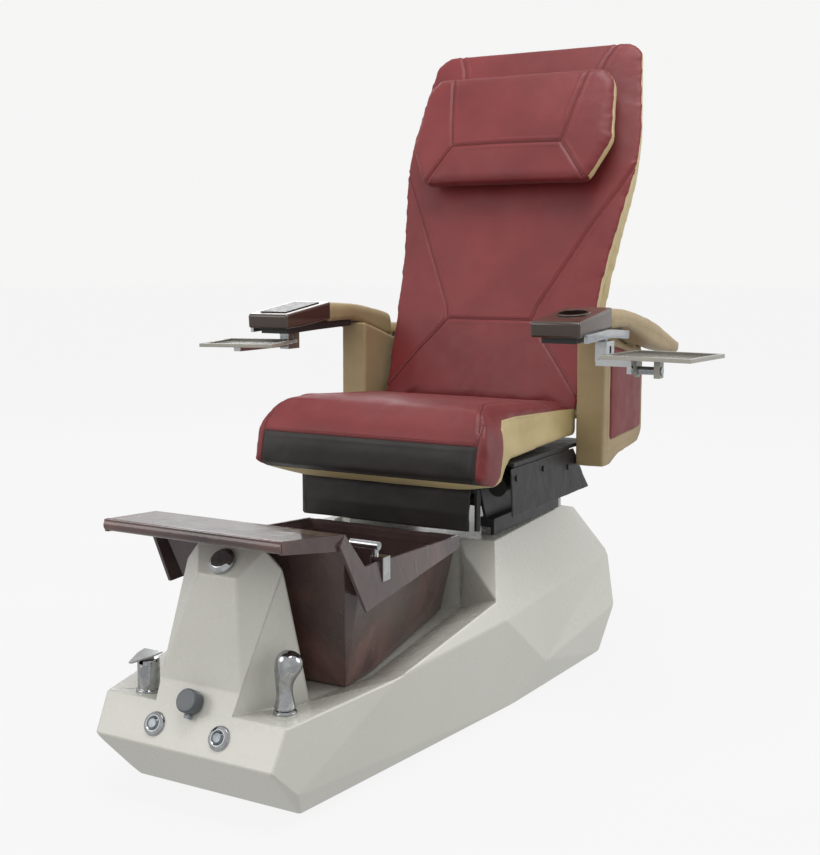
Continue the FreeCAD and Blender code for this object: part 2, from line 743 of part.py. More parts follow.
def frame_side(front, screws):
    """Side plate, apron bar and skirt flange of the +X side; the flange starts at front."""
    low, high = SIDE_PLATE
    plate = padded("YZ", [(-72, 442), (-72, 466), (-34, size.pan_z), (355, size.pan_z), (355, 372),
                          (20, 372), (-10, 442)], low, high)
    shaft_hole = cylinder(6.5, (low - 10, 78, 440), 30, "X")
    bar = cylinder(6, (204, -78, 366), 84)
    tie = box((low, -88.2, 444), (204, -70, 454))
    flange = box((size.pan_half - 6, front, 440), (size.pan_half, 250, size.pan_z))
    screw_holes = [cylinder(2.55, (size.pan_half - 8, y, z), 12, "X") for y, z in screws]
    return fuse(cut(plate, shaft_hole), bar, tie, cut(flange, *screw_holes))


def seat_frame():
    """Pressed seat pan standing on two side plates, with the apron's bars welded on."""
    pan_top = size.pan_z + size.pan_thick
    pan = box((-size.pan_half, -34, size.pan_z), (size.pan_half, 355, pan_top))
    left = frame_side(-34, SKIRT_LEFT[1])
    right = frame_side(54, SKIRT_RIGHT[1])
    node("seat_frame", fuse(pan, left, mirror(right)))


def seat_cushion():
    profile = [(-182, 478, 8), (-132, 460, 20), (-88, 463, 10), (-38, 506, 10), (296, 516, 8),
               (304, 580, 8), (160, 590), (-60, 606, 60), (-132, 601, 34), (-168, 552, 40)]
    node("seat_cushion", padded("YZ", profile, -size.seat_half, size.seat_half))


def apron():
    """Upholstered front apron and the side skirts with their screws."""
    profile = [(-91, 461.5), (-98, 440, 40), (-101, 402, 40), (-99, 366), (-94, 366),
               (-96, 402, 40), (-93, 440, 40), (-86.2, 461.5)]
    node("front_apron", padded("YZ", profile, -196, 196))
    inner = size.pan_half + size.gap

    def skirt_side(outline, places):
        skirt = padded("YZ", outline, inner, inner + 4)
        holes = [cylinder(2.6, (inner - 1, y, z), 6, "X") for y, z in places]
        screws = [fuse(cylinder(2.5, (inner - 8, y, z), 14, "X"),
                       cylinder(6, (inner + 4.2, y, z), 3, "X")) for y, z in places]
        return cut(skirt, *holes), screws

    left, left_screws = skirt_side(*SKIRT_LEFT)
    right, right_screws = skirt_side(*SKIRT_RIGHT)
    node("side_skirts", group(left, mirror(right)))
    node("skirt_screws", group(*left_screws, *(mirror(screw) for screw in right_screws)))


# ---------------------------------------------------------------- arm brackets and recline drive

BRACKET_PLATE = (288, 296)
BRACKET_OUTLINE = [(335, 500), (400, 500), (504, 702), (498, 732), (462, 732), (335, 545)]
BRACKET_SLOT = [(334.5, 499.5), (400.3, 499.5), (505, 702), (498.5, 732.5), (461.5, 732.5),
                (334.5, 545.3)]
BRACKET_LINK = (335, 352, 500, 508)                    # low and high Y, low and high Z


def brackets():
    """Steel plates that carry the recline pins and, inside the posts, the arm pins."""
    y, z = size.recline_y, size.recline_z
    near = size.pan_half + size.gap
    y0, y1, z0, z1 = BRACKET_LINK
    recline_plate = padded("YZ", [(y0, 484), (360, 484), (395, 512), (395, 530), (380, 540),
                                  (352, 540), (y0, 515)], near, near + 3.7)
    foot = box((230, y0, 484), (near + 1, y1, size.pan_z - 0.1))
    link = box((near + 2, y0, z0), (BRACKET_PLATE[0] + 1, y1, z1))
    arm_plate = padded("YZ", BRACKET_OUTLINE, *BRACKET_PLATE)
    recline_pin = cylinder(size.recline_pin_r, (246, y, z), 20, "X")
    arm_pin = cylinder(size.arm_pin_r, (BRACKET_PLATE[0], size.arm_pivot_y, size.arm_pivot_z), 95, "X")
    bracket = fuse(recline_plate, foot, link, arm_plate, recline_pin, arm_pin)
    node("arm_brackets", group(bracket, mirror(bracket)))


def actuator_pin():
    """Where the lever's pin stands, in Y and Z, with the back upright."""
    angle = math.radians(size.recline_sweep.value / 2)
    lever = size.recline_lever.value
    return (size.recline_y.value + lever * math.sin(angle),
            size.recline_z.value - lever * math.cos(angle))


def recline_actuator():
    z = size.actuator_z
    pin_y = actuator_pin()[0]
    tube = cylinder(20, (0, 30, z), 222, "Y")
    lug = box((-15, 40, z + 15), (15, 70, size.pan_z))
    bore = cylinder(10 + size.fit, (0, 62, z), 200, "Y")
    node("recline_actuator", cut(fuse(tube, lug), bore))
    rod = cylinder(10, (0, 150, z), pin_y - 12 - 150, "Y")
    eye = box((-12, pin_y - 13, z - 14), (12, pin_y + 13, z + 14))
    slot = box((-20, pin_y - 5.6, z - 8), (20, pin_y + 5.6, z + 8))
    node("recline_rod", cut(fuse(rod, eye), slot))


# ---------------------------------------------------------------- back

def lean_back(obj):
    """Put an object built in the back's own frame into place.

    In that frame x runs across, y is depth behind the front surface and z is distance up it.
    """
    place(obj, 0, size.back_y, size.back_z, V(-1, 0, 0), size.back_lean)
    bind(obj, "Placement.Rotation.Angle", size.back_lean)
    return obj


def both_sides(right):
    """A closed outline from its +X half, listed upward."""
    return right + [(-dim(point[0]), *point[1:]) for point in reversed(right)]


def back_frame():
    tubes = [cylinder(11, (x, 77, 0), 790) for x in (-205, 205)]
    tubes.append(cylinder(11, (-205, 77, 790), 410, "X"))
    tubes.append(cylinder(10, (-252, 77, 25), 504, "X"))
    lower = 70
    tubes.append(cylinder(9, (-205, 77, lower), 410, "X"))
    frame = lean_back(fuse(*tubes))
    y, z = size.recline_y, size.recline_z
    tab = padded("YZ", [(y - 16, z - 16, 10), (y + 16, z - 16, 10), (416, 574), (416, 596, 8),
                        (388, 596, 8)], 251, 259)
    hole = cylinder(size.recline_pin_r + size.fit, (240, y, z), 40, "X")
    tab = cut(tab, hole)
    pin_y, pin_z = actuator_pin()
    lever = padded("YZ", [(pin_y - 11, pin_z - 11, 8), (pin_y + 11, pin_z - 11, 8), (416, 574, 6),
                          (416, 594, 6), (397, 594, 6)], 16, 22)
    pin = cylinder(5, (-22, pin_y, pin_z), 44, "X")
    node("back_frame", fuse(frame, tab, mirror(tab), lever, mirror(lever), pin))


BACK_OUTLINE = [(243, -20), (250, 150), (262, 330), (298, 585), (296, 650), (266, 866, 34), (230, 884)]
SHELL_OUTLINE = [(232, -12), (238, 150), (246, 330), (272, 585), (270, 650), (238, 846, 30), (206, 864)]
SHELL_INSIDE = [(228, -8), (234, 150), (242, 330), (268, 585), (266, 650), (233, 840, 28), (202, 860)]
CHANNEL = [(64, 103), (64, 702), (-64, 702), (-64, 103)]


def back_pads():
    """Padded front with a channel for the massage rollers, and the cover behind it."""
    cushion = padded("XZ", both_sides(BACK_OUTLINE), 0, size.cushion_thick,
                     [(CHANNEL, 36, size.cushion_thick)])
    node("back_cushion", lean_back(cushion))
    start = size.cushion_thick + size.gap
    cover = padded("XZ", both_sides(SHELL_OUTLINE), start, size.back_thick,
                   [(both_sides(SHELL_INSIDE), start, size.back_thick - 4)])
    mouth = box((-260, start - 1, -40), (260, 92, 37))
    notch = box((-30, start - 1, -40), (30, size.back_thick + 2, 2))
    node("back_shell", lean_back(cut(cover, mouth, notch)))
    pillow = padded("XZ", both_sides([(212, 504, 14), (253, 602, 18), (237, 750, 18),
                                           (214, 784, 14)]), -86, -3)
    node("pillow", lean_back(pillow))


def massage():
    """Two guide rods and a carriage with a pair of rollers on one axle."""
    x, n, radius = size.massage_rail_x, size.massage_rail_n, size.massage_rail_r
    rods = [lean_back(fuse(cylinder(radius, (side * x, n, 110), 580),
                           box((side * x - 10, n - 6, 100), (side * x + 10, n + 8, 110)),
                           box((side * x - 10, n - 6, 690), (side * x + 10, n + 8, 700))))
            for side in (-1, 1)]
    node("massage_rails", group(*rods))
    start = size.roller_start
    block = box((-95, 86, start - 70), (95, 102, start - 32))
    ears = [box((low, 60, start - 70), (low + 6, 100, start + 12)) for low in (-56, 50)]
    motor = box((-30, 64, start - 70), (30, 86, start - 34))
    bores = [cylinder(radius + size.fit, (side * x, n, start - 80), 60) for side in (-1, 1)]
    axle_at = (-60, 68, start)
    bores.append(cylinder(5 + size.fit, axle_at, 120, "X"))
    node("massage_carriage", lean_back(cut(fuse(block, *ears, motor), *bores)))
    axle = cylinder(5, (-57, 68, start), 114, "X")
    wheels = [cylinder(size.roller_r, (low, 68, start), 26, "X") for low in (-44, 18)]
    node("massage_rollers", lean_back(fuse(axle, *wheels)))


# ---------------------------------------------------------------- arms and trays

PAD_TOP_FRONT = (-22, 779)
PAD_REAR = 153.8
PAD_SLOPE = 20 / 154
ARM_UNDERSIDE = [(630, 706), (618, 680), (520, 692, 200), (400, 716, 300), (340, 735, 200),
                 (262, 757, 10)]
POST_TOP = [(520, 691.5), (400, 713.5, 300), (340, 732.5, 200), (272, 751.5)]


def pad_top(y):
    return PAD_TOP_FRONT[1] + (y - PAD_TOP_FRONT[0]) * PAD_SLOPE


CUP_AT = (338, 72, pad_top(72))
CUP_TILT = math.degrees(math.atan(PAD_SLOPE))


def sided(label, build):
    """Build a piece for the +X side and its mirror image for the other."""
    piece = build()
    node(f"{label}_left", piece)
    node(f"{label}_right", mirror(piece))


def arm_shell_body():
    """Arched arm; behind the hinge only its outer half is left, beside the post."""
    rear = size.post_inner - 1
    arch = padded("YZ", [(154.5, 757), (154.5, 801, 6), (300, 791, 400), (380, 778, 400),
                         (450, 762, 400), (520, 742, 300), (575, 722, 200), *ARM_UNDERSIDE],
                  size.arm_inner, size.arm_outer)
    clearance = box((rear, size.arm_pivot_y - size.arm_boss_r - 10, 600),
                    (size.arm_rear_inner, 700, 850))
    bore = cylinder(size.arm_pin_r + size.fit, (330, size.arm_pivot_y, size.arm_pivot_z), 54, "X")
    return cut(arch, clearance, bore)


def arm_post_body():
    """Fixed post beside the seat, with a hinge boss, a panel recess and a bracket slot."""
    post = padded("YZ", [(272, 452, 8), (318, 452, 20), (370, 470, 60), (498, 482, 30), (520, 504, 16),
                         *POST_TOP], size.post_inner, size.post_outer)
    pivot_y, pivot_z = size.arm_pivot_y, size.arm_pivot_z
    boss = cylinder(size.arm_boss_r, (size.post_inner, pivot_y, pivot_z),
                    size.post_outer - size.post_inner, "X")
    recess = padded("YZ", [(312, 506, 14), (509, 516, 6), (509, 672, 6), (440, 690, 20), (312, 716, 8)],
                    size.post_outer - 6, size.post_outer + 4)
    slot = padded("YZ", BRACKET_SLOT, BRACKET_PLATE[0] - 0.3, BRACKET_PLATE[1] + 0.3)
    y0, y1, z0, z1 = BRACKET_LINK
    link = box((size.post_inner - 1, y0 - 0.5, z0 - 0.5), (BRACKET_PLATE[0] + 1, y1 + 0.5, z1 + 0.5))
    bore = cylinder(size.arm_pin_r + size.fit, (BRACKET_PLATE[0], pivot_y, pivot_z), 60, "X")
    return cut(fuse(post, boss), recess, slot, link, bore)


def arm_panel_body():
    return padded("YZ", [(312.4, 506.5, 13.6), (508.6, 516.5, 5.6), (508.6, 671.7, 5.6),
                         (440, 689.6, 20), (312.4, 715.5, 7.6)],
                  size.post_outer - 5.8, size.post_outer + 0.5)


def arm_pad_body():
    profile = [(-20, 748, 5), (-22, 779, 7), (PAD_REAR, pad_top(PAD_REAR)), (PAD_REAR, 762),
               (40, 751, 60)]
    return padded("YZ", profile, 286, size.arm_outer)


def arms():
    sided("arm_shell", arm_shell_body)
    sided("arm_post", arm_post_body)
    sided("arm_panel", arm_panel_body)
    well = drill(V(*CUP_AT), CUP_TILT, 31, -28.3, 30)
    node("arm_pad_left", cut(arm_pad_body(), well))
    node("arm_pad_right", mirror(arm_pad_body()))
    sided("pad_support", lambda: padded(
        "YZ", [(4, 736), (120, 740), (262, 743), (262, 756.5), (154.3, 756.5), (154.3, 761.5),
               (40, 750.5), (4, 747.5)], 300, size.swing_x - 12))
    node("cup_holder", turned(
        [(0, -28), (30.8, -28, 4), (30.8, 0.3), (35, 0.3), (35, 2), (32, 3.4), (28.6, 3.4),
         (28.6, -25.6), (0, -25.6)], *CUP_AT, CUP_TILT))
    lift = size.gap.value
    rear = 134
    node("keypad", padded("YZ", [(0, pad_top(0) + lift), (rear, pad_top(rear) + lift),
                                 (rear, pad_top(rear) + 2.6), (0, pad_top(0) + 2.6)], -372, -304))


def tray_rail_body():
    """Aluminium side rail of the arm, with a lug for the tray's swing pin."""
    rail = padded("YZ", [(0, 738), (120, 743, 400), (232, 735, 4), (236, 752, 4), (120, 760, 400),
                         (0, 755, 2)], size.arm_outer + 0.6, size.arm_outer + 8)
    lug = box((size.swing_x - 11, size.swing_y - 19, 741), (size.arm_outer + 1, size.swing_y + 19, 753))
    bore = cylinder(5 + size.fit, (size.swing_x, size.swing_y, 730), 40)
    return cut(fuse(rail, lug), bore)


def swing_block():
    """Slotted block that hangs on the swing pin."""
    x, y = size.swing_x, size.swing_y
    block = box((x - 12, y - 22, 694), (x + 12, y + 22, 736))
    window = box((x - 20, y - 5, 706), (x + 20, y + 5, 726))
    return fuse(cut(block, window), cylinder(5, (x, y, 735), 18))


def tray_plate(x, y, turn):
    """Shallow rectangular tray with a raised rim."""
    length, width = size.tray_length, size.tray_width
    plate = box((-length / 2, -width / 2, 0), (length / 2, width / 2, 8))
    hollow = box((-length / 2 + 9, -width / 2 + 9, 2), (length / 2 - 9, width / 2 - 9, 14))
    pan = cut(plate, hollow)
    place(pan, x, y, size.tray_z, V(0, 0, 1), turn)
    return pan


def trays():
    """The +X tray reaches outward and also tilts; the other is swung forward on a plain bar."""
    sided("tray_rail", tray_rail_body)
    x, z = size.swing_x, size.tilt_z
    y = size.tilt_y
    arm = box((x + 2, y - 10, 690), (460, y + 10, 703))
    neck = box((x + 2, y - 10, 695), (x + 12, size.swing_y - 20, 703))
    drop = box((450, y - 8, z - 8), (460, y + 8, 692))
    tube = cylinder(8, (458, y, z), 62, "X")
    node("tray_bracket_left", fuse(swing_block(), arm, neck, drop, tube))
    ear = padded("YZ", [(y - 14, size.tray_z + 0.5), (y - 14, z - 14, 13), (y + 14, z - 14, 13),
                        (y + 14, size.tray_z + 0.5)], 465, 472)
    block = box((506, y - 12, z - 14), (518, y + 12, size.tray_z + 0.5))
    bore = cylinder(8 + size.fit, (450, y, z), 90, "X")
    pan = tray_plate(size.tray_x, size.tray_y, -size.tray_turn)
    node("tray_left", fuse(pan, cut(fuse(ear, block), bore)))
    bar = box((-x - 9, -70, 700), (-x + 9, size.swing_y - 20, size.tray_z))
    node("tray_bracket_right", fuse(mirror(swing_block()), bar))
    node("tray_right", tray_plate(-390, -16, 107))


# ---------------------------------------------------------------- build, check and write

def build_all():
    for build in (base_shell, basin, drain, drain_knob, jet, water_spout, faucet, sprayer, controls,
                  support_frame, services, slide, seat_frame, seat_cushion, apron, brackets, recline_actuator,
                  back_frame, back_pads, massage, arms, trays):
        build()
    doc.recompute()


def check():
    for obj in doc.Objects:
        if "Invalid" in obj.State or "Error" in obj.State:
            raise RuntimeError(f"{obj.Label}: {obj.State}")
    for label, obj in parts.items():
        shape = obj.Shape
        if shape.isNull() or not shape.isValid() or shape.Volume <= 0:
            raise RuntimeError(f"{label}: bad shape")


def write():
    os.makedirs("parts", exist_ok=True)
    for label, obj in parts.items():
        obj.Shape.exportStep(f"parts/{label}.step")
    print(f"{len(parts)} sub-parts written")


build_all()
check()
write()
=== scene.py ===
"""Looks of the pedicure spa chair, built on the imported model's frame. Metres; the sitter faces -Y."""
import bmesh
import bpy
import json
import math
from mathutils import Matrix, Vector, noise
from mathutils.bvhtree import BVHTree


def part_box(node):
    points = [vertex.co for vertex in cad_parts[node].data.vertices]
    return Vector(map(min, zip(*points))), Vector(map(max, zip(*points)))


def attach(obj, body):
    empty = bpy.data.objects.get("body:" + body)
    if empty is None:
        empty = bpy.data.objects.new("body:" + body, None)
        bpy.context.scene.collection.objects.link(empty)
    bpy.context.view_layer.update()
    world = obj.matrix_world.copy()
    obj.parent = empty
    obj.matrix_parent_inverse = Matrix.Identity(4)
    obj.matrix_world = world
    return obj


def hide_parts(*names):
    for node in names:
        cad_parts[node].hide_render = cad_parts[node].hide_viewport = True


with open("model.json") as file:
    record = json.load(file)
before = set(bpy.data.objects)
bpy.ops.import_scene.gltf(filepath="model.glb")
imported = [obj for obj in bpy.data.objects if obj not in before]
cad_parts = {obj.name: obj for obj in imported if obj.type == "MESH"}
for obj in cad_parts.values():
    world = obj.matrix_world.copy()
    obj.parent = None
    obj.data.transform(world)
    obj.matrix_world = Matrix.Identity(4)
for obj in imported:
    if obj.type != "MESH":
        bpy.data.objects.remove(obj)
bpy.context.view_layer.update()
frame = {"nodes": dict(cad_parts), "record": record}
nodes = frame["nodes"]
record = frame["record"]
BODY = {node: body for body, members in record["behaviour"]["bodies"].items() for node in members}
SLOT = {part["node"]: part["material_slot"] for part in record["subparts"]}
scene = bpy.context.scene
MM = 0.001

# ---------------------------------------------------------------- camera, floor and light

CAMERA_AT = (1.288, -2.278, 0.903)
CAMERA_TILT = math.radians(82.32)
CAMERA_TURN = math.radians(29.34)

camera_data = bpy.data.cameras.new("camera")
camera_data.lens = 53.23
camera_data.sensor_width = 36
camera = bpy.data.objects.new("camera", camera_data)
camera.location = CAMERA_AT
camera.rotation_euler = (CAMERA_TILT, 0, CAMERA_TURN)
scene.collection.objects.link(camera)
scene.camera = camera


def area_light(name, at, target, size, watts, colour=(1, 1, 1)):
    data = bpy.data.lights.new(name, "AREA")
    data.shape = "DISK"
    data.size = size
    data.energy = watts
    data.color = colour
    lamp = bpy.data.objects.new(name, data)
    lamp.location = at
    direction = Vector(target) - Vector(at)
    lamp.rotation_euler = direction.to_track_quat("-Z", "Y").to_euler()
    scene.collection.objects.link(lamp)


MIDDLE = (0, 0, 0.65)
area_light("key", (-2.9, -3.4, 2.7), MIDDLE, 3.2, 50, (1.0, 0.985, 0.96))
area_light("fill", (3.4, 2.2, 2.0), MIDDLE, 3.0, 44, (0.97, 0.98, 1.0))
area_light("top", (0.5, -0.5, 4.2), MIDDLE, 2.2, 76)
area_light("rim", (-2.4, 3.2, 2.2), MIDDLE, 2.0, 20)

world = bpy.data.worlds.new("studio")
world.use_nodes = True
sky = world.node_tree
heading = sky.nodes.new("ShaderNodeTexCoord")
parted = sky.nodes.new("ShaderNodeSeparateXYZ")
level = sky.nodes.new("ShaderNodeMapRange")
for socket, value in (("From Min", -0.40), ("From Max", -0.03), ("To Min", 0.75), ("To Max", 0.93)):
    level.inputs[socket].default_value = value
sky.links.new(heading.outputs["Generated"], parted.inputs[0])
sky.links.new(parted.outputs["Z"], level.inputs["Value"])
sky.links.new(level.outputs["Result"], sky.nodes["Background"].inputs["Color"])
sky.nodes["Background"].inputs["Strength"].default_value = 0.72
scene.world = world
scene.view_settings.view_transform = "Standard"


# ---------------------------------------------------------------- materials

def srgb(text):
    """Linear colour from a hex code."""
    parts = [int(text[i:i + 2], 16) / 255 for i in (0, 2, 4)]
    return (*((c / 12.92 if c <= 0.04045 else ((c + 0.055) / 1.055) ** 2.4) for c in parts), 1)


class Graph:
    """A material's node tree, with short calls for the nodes used here."""

    def __init__(self, name):
        self.material = bpy.data.materials.new(name)
        self.material.use_nodes = True
        self.tree = self.material.node_tree
        self.shader = self.tree.nodes["Principled BSDF"]
        self.place = self.add("ShaderNodeTexCoord").outputs["Object"]

    def add(self, kind, links=(), **settings):
        node = self.tree.nodes.new(kind)
        for key, value in settings.items():
            setattr(node, key, value)
        for socket, source in dict(links).items():
            if isinstance(source, bpy.types.NodeSocket):
                self.tree.links.new(source, node.inputs[socket])
            else:
                node.inputs[socket].default_value = source
        return node

    def link(self, source, socket):
        self.tree.links.new(source, self.shader.inputs[socket])

    def noise(self, scale, detail=3, rough=0.5, stretch=None, distortion=0.0):
        place = self.place
        if stretch:
            place = self.add("ShaderNodeMapping", {"Vector": place, "Scale": stretch}).outputs[0]
        return self.add("ShaderNodeTexNoise", {
            "Vector": place, "Scale": scale, "Detail": detail, "Roughness": rough,
            "Distortion": distortion}).outputs["Fac"]

    def ramp(self, source, stops):
        node = self.add("ShaderNodeValToRGB", {"Fac": source})
        band = node.color_ramp
        while len(band.elements) < len(stops):
            band.elements.new(0.5)
        for element, (place, colour) in zip(band.elements, stops):
            element.position = place
            element.color = colour
        return node.outputs["Color"]

    def scaled(self, source, low, high, start=0.0, end=1.0):
        return self.add("ShaderNodeMapRange", {
            "Value": source, "From Min": start, "From Max": end, "To Min": low,
            "To Max": high}).outputs["Result"]

    def mix(self, amount, first, second):
        node = self.add("ShaderNodeMix", data_type="RGBA")
        for socket, source in ((node.inputs[0], amount), (node.inputs[6], first), (node.inputs[7], second)):
            if isinstance(source, bpy.types.NodeSocket):
                self.tree.links.new(source, socket)
            else:
                socket.default_value = source
        return node.outputs[2]

    def worn(self, colour, edge, reach=0.06, amount=0.6):
        """Blend towards another colour on convex edges."""
        point = self.add("ShaderNodeNewGeometry").outputs["Pointiness"]
        return self.mix(self.scaled(point, 0, amount, 0.5 + reach * 0.3, 0.5 + reach), colour, edge)

    def bump(self, *layers):
        """Stacked bumps, each (height, strength, distance)."""
        normal = None
        for height, strength, distance in layers:
            links = {"Height": height, "Strength": strength, "Distance": distance}
            if normal is not None:
                links["Normal"] = normal
            normal = self.add("ShaderNodeBump", links).outputs["Normal"]
        self.link(normal, "Normal")

    def set(self, **values):
        names = {"metallic": "Metallic", "coat": "Coat Weight", "coat_rough": "Coat Roughness",
                 "sheen": "Sheen Weight", "sheen_rough": "Sheen Roughness", "ior": "IOR",
                 "transmission": "Transmission Weight", "specular": "Specular IOR Level",
                 "subsurface": "Subsurface Weight", "subsurface_scale": "Subsurface Scale"}
        for key, value in values.items():
            self.shader.inputs[names[key]].default_value = value


def vinyl(name, dark, mid, light, rough=(0.40, 0.52), edge=None):
    """Upholstery vinyl: fine pebble grain, faint creases, uneven tone."""
    g = Graph(name)
    tone = g.ramp(g.noise(7, 4, 0.55), [(0.3, srgb(dark)), (0.5, srgb(mid)), (0.72, srgb(light))])
    pores = g.add("ShaderNodeTexVoronoi", {"Vector": g.place, "Scale": 620.0},
                  feature="DISTANCE_TO_EDGE").outputs["Distance"]
    tone = g.mix(g.scaled(pores, 0.30, 0.0, 0.0, 0.12), tone, srgb(dark))
    if edge:
        tone = g.worn(tone, srgb(edge), 0.05, 0.35)
    g.link(tone, "Base Color")
    g.link(g.scaled(g.noise(26, 4), *rough, 0.35, 0.65), "Roughness")
    g.bump((g.scaled(pores, 0, 1, 0, 0.25), 0.16, 0.0006),
           (g.noise(16, 5, 0.6, stretch=(1, 1, 0.55), distortion=0.4), 0.16, 0.004))
    g.set(specular=0.42, sheen=0.06, sheen_rough=0.4)
    return g.material


def moulded(name, dark, light, rough, bump=0.05, grain=300, coat=0.0, edge=None):
    """Moulded plastic or paint: faint mottling, fine texture."""
    g = Graph(name)
    tone = g.ramp(g.noise(5, 4), [(0.3, srgb(dark)), (0.7, srgb(light))])
    if edge:
        tone = g.worn(tone, srgb(edge), 0.06, 0.5)
    g.link(tone, "Base Color")
    g.link(g.scaled(g.noise(30, 4, 0.6), *rough, 0.3, 0.7), "Roughness")
    g.bump((g.noise(grain, 2), bump, 0.0008), (g.noise(22, 2), bump * 0.7, 0.003))
    g.set(coat=coat, coat_rough=0.12)
    return g.material


def metal(name, dark, light, rough, stretch=(1, 1, 1), grain=120, bump=0.03):
    """Bare or plated metal, with brushing along one axis where it is stretched."""
    g = Graph(name)
    lines = g.noise(grain, 3, 0.6, stretch=stretch)
    tone = g.ramp(lines, [(0.3, srgb(dark)), (0.7, srgb(light))])
    g.link(g.worn(tone, srgb("F0F0EE"), 0.08, 0.4), "Base Color")
    g.link(g.scaled(g.noise(40, 5, 0.6), *rough, 0.35, 0.65), "Roughness")
    g.bump((lines, bump, 0.0004))
    g.set(metallic=1.0)
    return g.material


def gelcoat():
    """Moulded base: glossy off-white with a slight ripple and pearl."""
    g = Graph("gelcoat")
    cloud = g.noise(3.2, 4, 0.55)
    tone = g.ramp(cloud, [(0.25, srgb("CBCAC1")), (0.55, srgb("CFCEC5")), (0.8, srgb("D3D2CB"))])
    dust = g.noise(240, 2)
    tone = g.mix(g.scaled(dust, 0.0, 0.05, 0.5, 0.8), tone, srgb("EFECE6"))
    g.link(g.worn(tone, srgb("E0DED7"), 0.08, 0.25), "Base Color")
    g.link(g.scaled(g.noise(18, 4, 0.6), 0.24, 0.31, 0.35, 0.65), "Roughness")
    g.bump((g.noise(5, 2), 0.03, 0.004), (g.noise(150, 2), 0.012, 0.0008))
    g.set(coat=0.25, coat_rough=0.16, specular=0.42)
    return g.material


def resin():
    """Foot basin: dark red-brown translucent resin with cloudy swirls and a rippled, wet gloss."""
    g = Graph("resin")
    swirl = g.noise(6, 4, 0.5, stretch=(1, 1, 0.6), distortion=0.6)
    tone = g.ramp(swirl, [(0.34, srgb("50403E")), (0.50, srgb("604D4A")), (0.60, srgb("775954")),
                          (0.74, srgb("94716B"))])
    g.link(tone, "Base Color")
    g.link(g.scaled(g.noise(20, 4), 0.08, 0.20, 0.35, 0.65), "Roughness")
    g.bump((g.noise(26, 3, 0.5, distortion=0.8), 0.35, 0.006), (g.noise(70, 2), 0.12, 0.002))
    g.set(transmission=0.28, ior=1.5, coat=0.45, coat_rough=0.06)
    return g.material


def tray_resin():
    """Smoked grey-beige tray plastic."""
    g = Graph("tray_resin")
    tone = g.ramp(g.noise(14, 4), [(0.3, srgb("727067")), (0.7, srgb("88867C"))])
    g.link(g.worn(tone, srgb("D8D4C8"), 0.06, 0.6), "Base Color")
    g.link(g.scaled(g.noise(60, 3), 0.16, 0.30, 0.35, 0.65), "Roughness")
    g.bump((g.noise(500, 2), 0.04, 0.0005))
    g.set(coat=0.4, coat_rough=0.08, transmission=0.12, ior=1.49)
    return g.material


def keypad_film():
    """Membrane keypad: dark film with plain raised key fields."""
    g = Graph("keypad_film")
    cells = g.add("ShaderNodeTexVoronoi", {
        "Vector": g.place, "Scale": 52.0, "Randomness": 0.0}, distance="CHEBYCHEV").outputs["Distance"]
    keys = g.scaled(cells, 1, 0, 0.34, 0.38)
    g.link(g.mix(keys, srgb("151516"), srgb("2A2B2D")), "Base Color")
    g.link(g.scaled(g.noise(80, 3), 0.28, 0.42, 0.3, 0.7), "Roughness")
    g.bump((keys, 0.3, 0.0006), (g.noise(900, 1), 0.05, 0.0003))
    return g.material


def thread(name, dark, light):
    """Twisted sewing thread."""
    g = Graph(name)
    g.link(g.ramp(g.noise(900, 2), [(0.35, srgb(dark)), (0.65, srgb(light))]), "Base Color")
    g.link(g.scaled(g.noise(400, 2), 0.55, 0.75), "Roughness")
    g.bump((g.noise(1800, 2), 0.3, 0.0003))
    return g.material


BURGUNDY = vinyl("burgundy_vinyl", "6C2426", "77292C", "812F31")
TAN = vinyl("tan_vinyl", "B8A573", "C6B382", "D1BF90", edge="D9CA9F")
ARM_TAN = vinyl("arm_vinyl", "93805D", "9F8B66", "AB9771", edge="B6A47E")
BLACK_VINYL = vinyl("black_vinyl", "1E1B1A", "272423", "312D2B", (0.42, 0.55))
SEAM_RED = thread("seam_red", "4A1517", "571A1C")
FINISH = {
    "base_moulding": gelcoat(),
    "black_steel": moulded("black_steel", "141416", "202022", (0.34, 0.48), 0.10, 420, edge="3A3A3C"),
    "basin_resin": resin(),
    "chrome": metal("chrome", "9A9C9E", "C2C4C6", (0.05, 0.12), grain=60, bump=0.015),
    "grey_plastic": moulded("grey_plastic", "474C51", "545A5F", (0.30, 0.42), 0.08, 500, coat=0.2,
                            edge="A9B2B9"),
    "black_plastic": moulded("black_plastic", "151515", "212121", (0.38, 0.52), 0.16, 650, edge="333333"),
    "zinc_steel": metal("zinc_steel", "8E9092", "B4B5B2", (0.25, 0.42), grain=70, bump=0.06),
    "burgundy_vinyl": BURGUNDY,
    "black_vinyl": BLACK_VINYL,
    "tan_vinyl": TAN,
    "brown_plastic": moulded("brown_plastic", "2A1F1A", "392B24", (0.16, 0.26), 0.05, 380, coat=0.5,
                             edge="6A574A"),
    "keypad_face": keypad_film(),
    "aluminium": metal("aluminium", "94989C", "B9BDC1", (0.26, 0.40), (1, 0.08, 1), 420, 0.08),
    "tray_plastic": tray_resin(),
}
BUTTON_CHROME = metal("button_chrome", "5C6266", "888E92", (0.16, 0.26), grain=60, bump=0.015)
THREAD_RED = thread("thread_red", "8E4A48", "A9625C")
THREAD_TAN = thread("thread_tan", "B9A67A", "D8C9A2")
THREAD_BLACK = thread("thread_black", "2B2725", "3B3633")

for node, obj in nodes.items():
    obj.data.materials.clear()
    obj.data.materials.append(FINISH[SLOT[node]])
    obj.data.shade_smooth()
    obj.data.set_sharp_from_angle(angle=math.radians(32))


# ---------------------------------------------------------------- mesh helpers

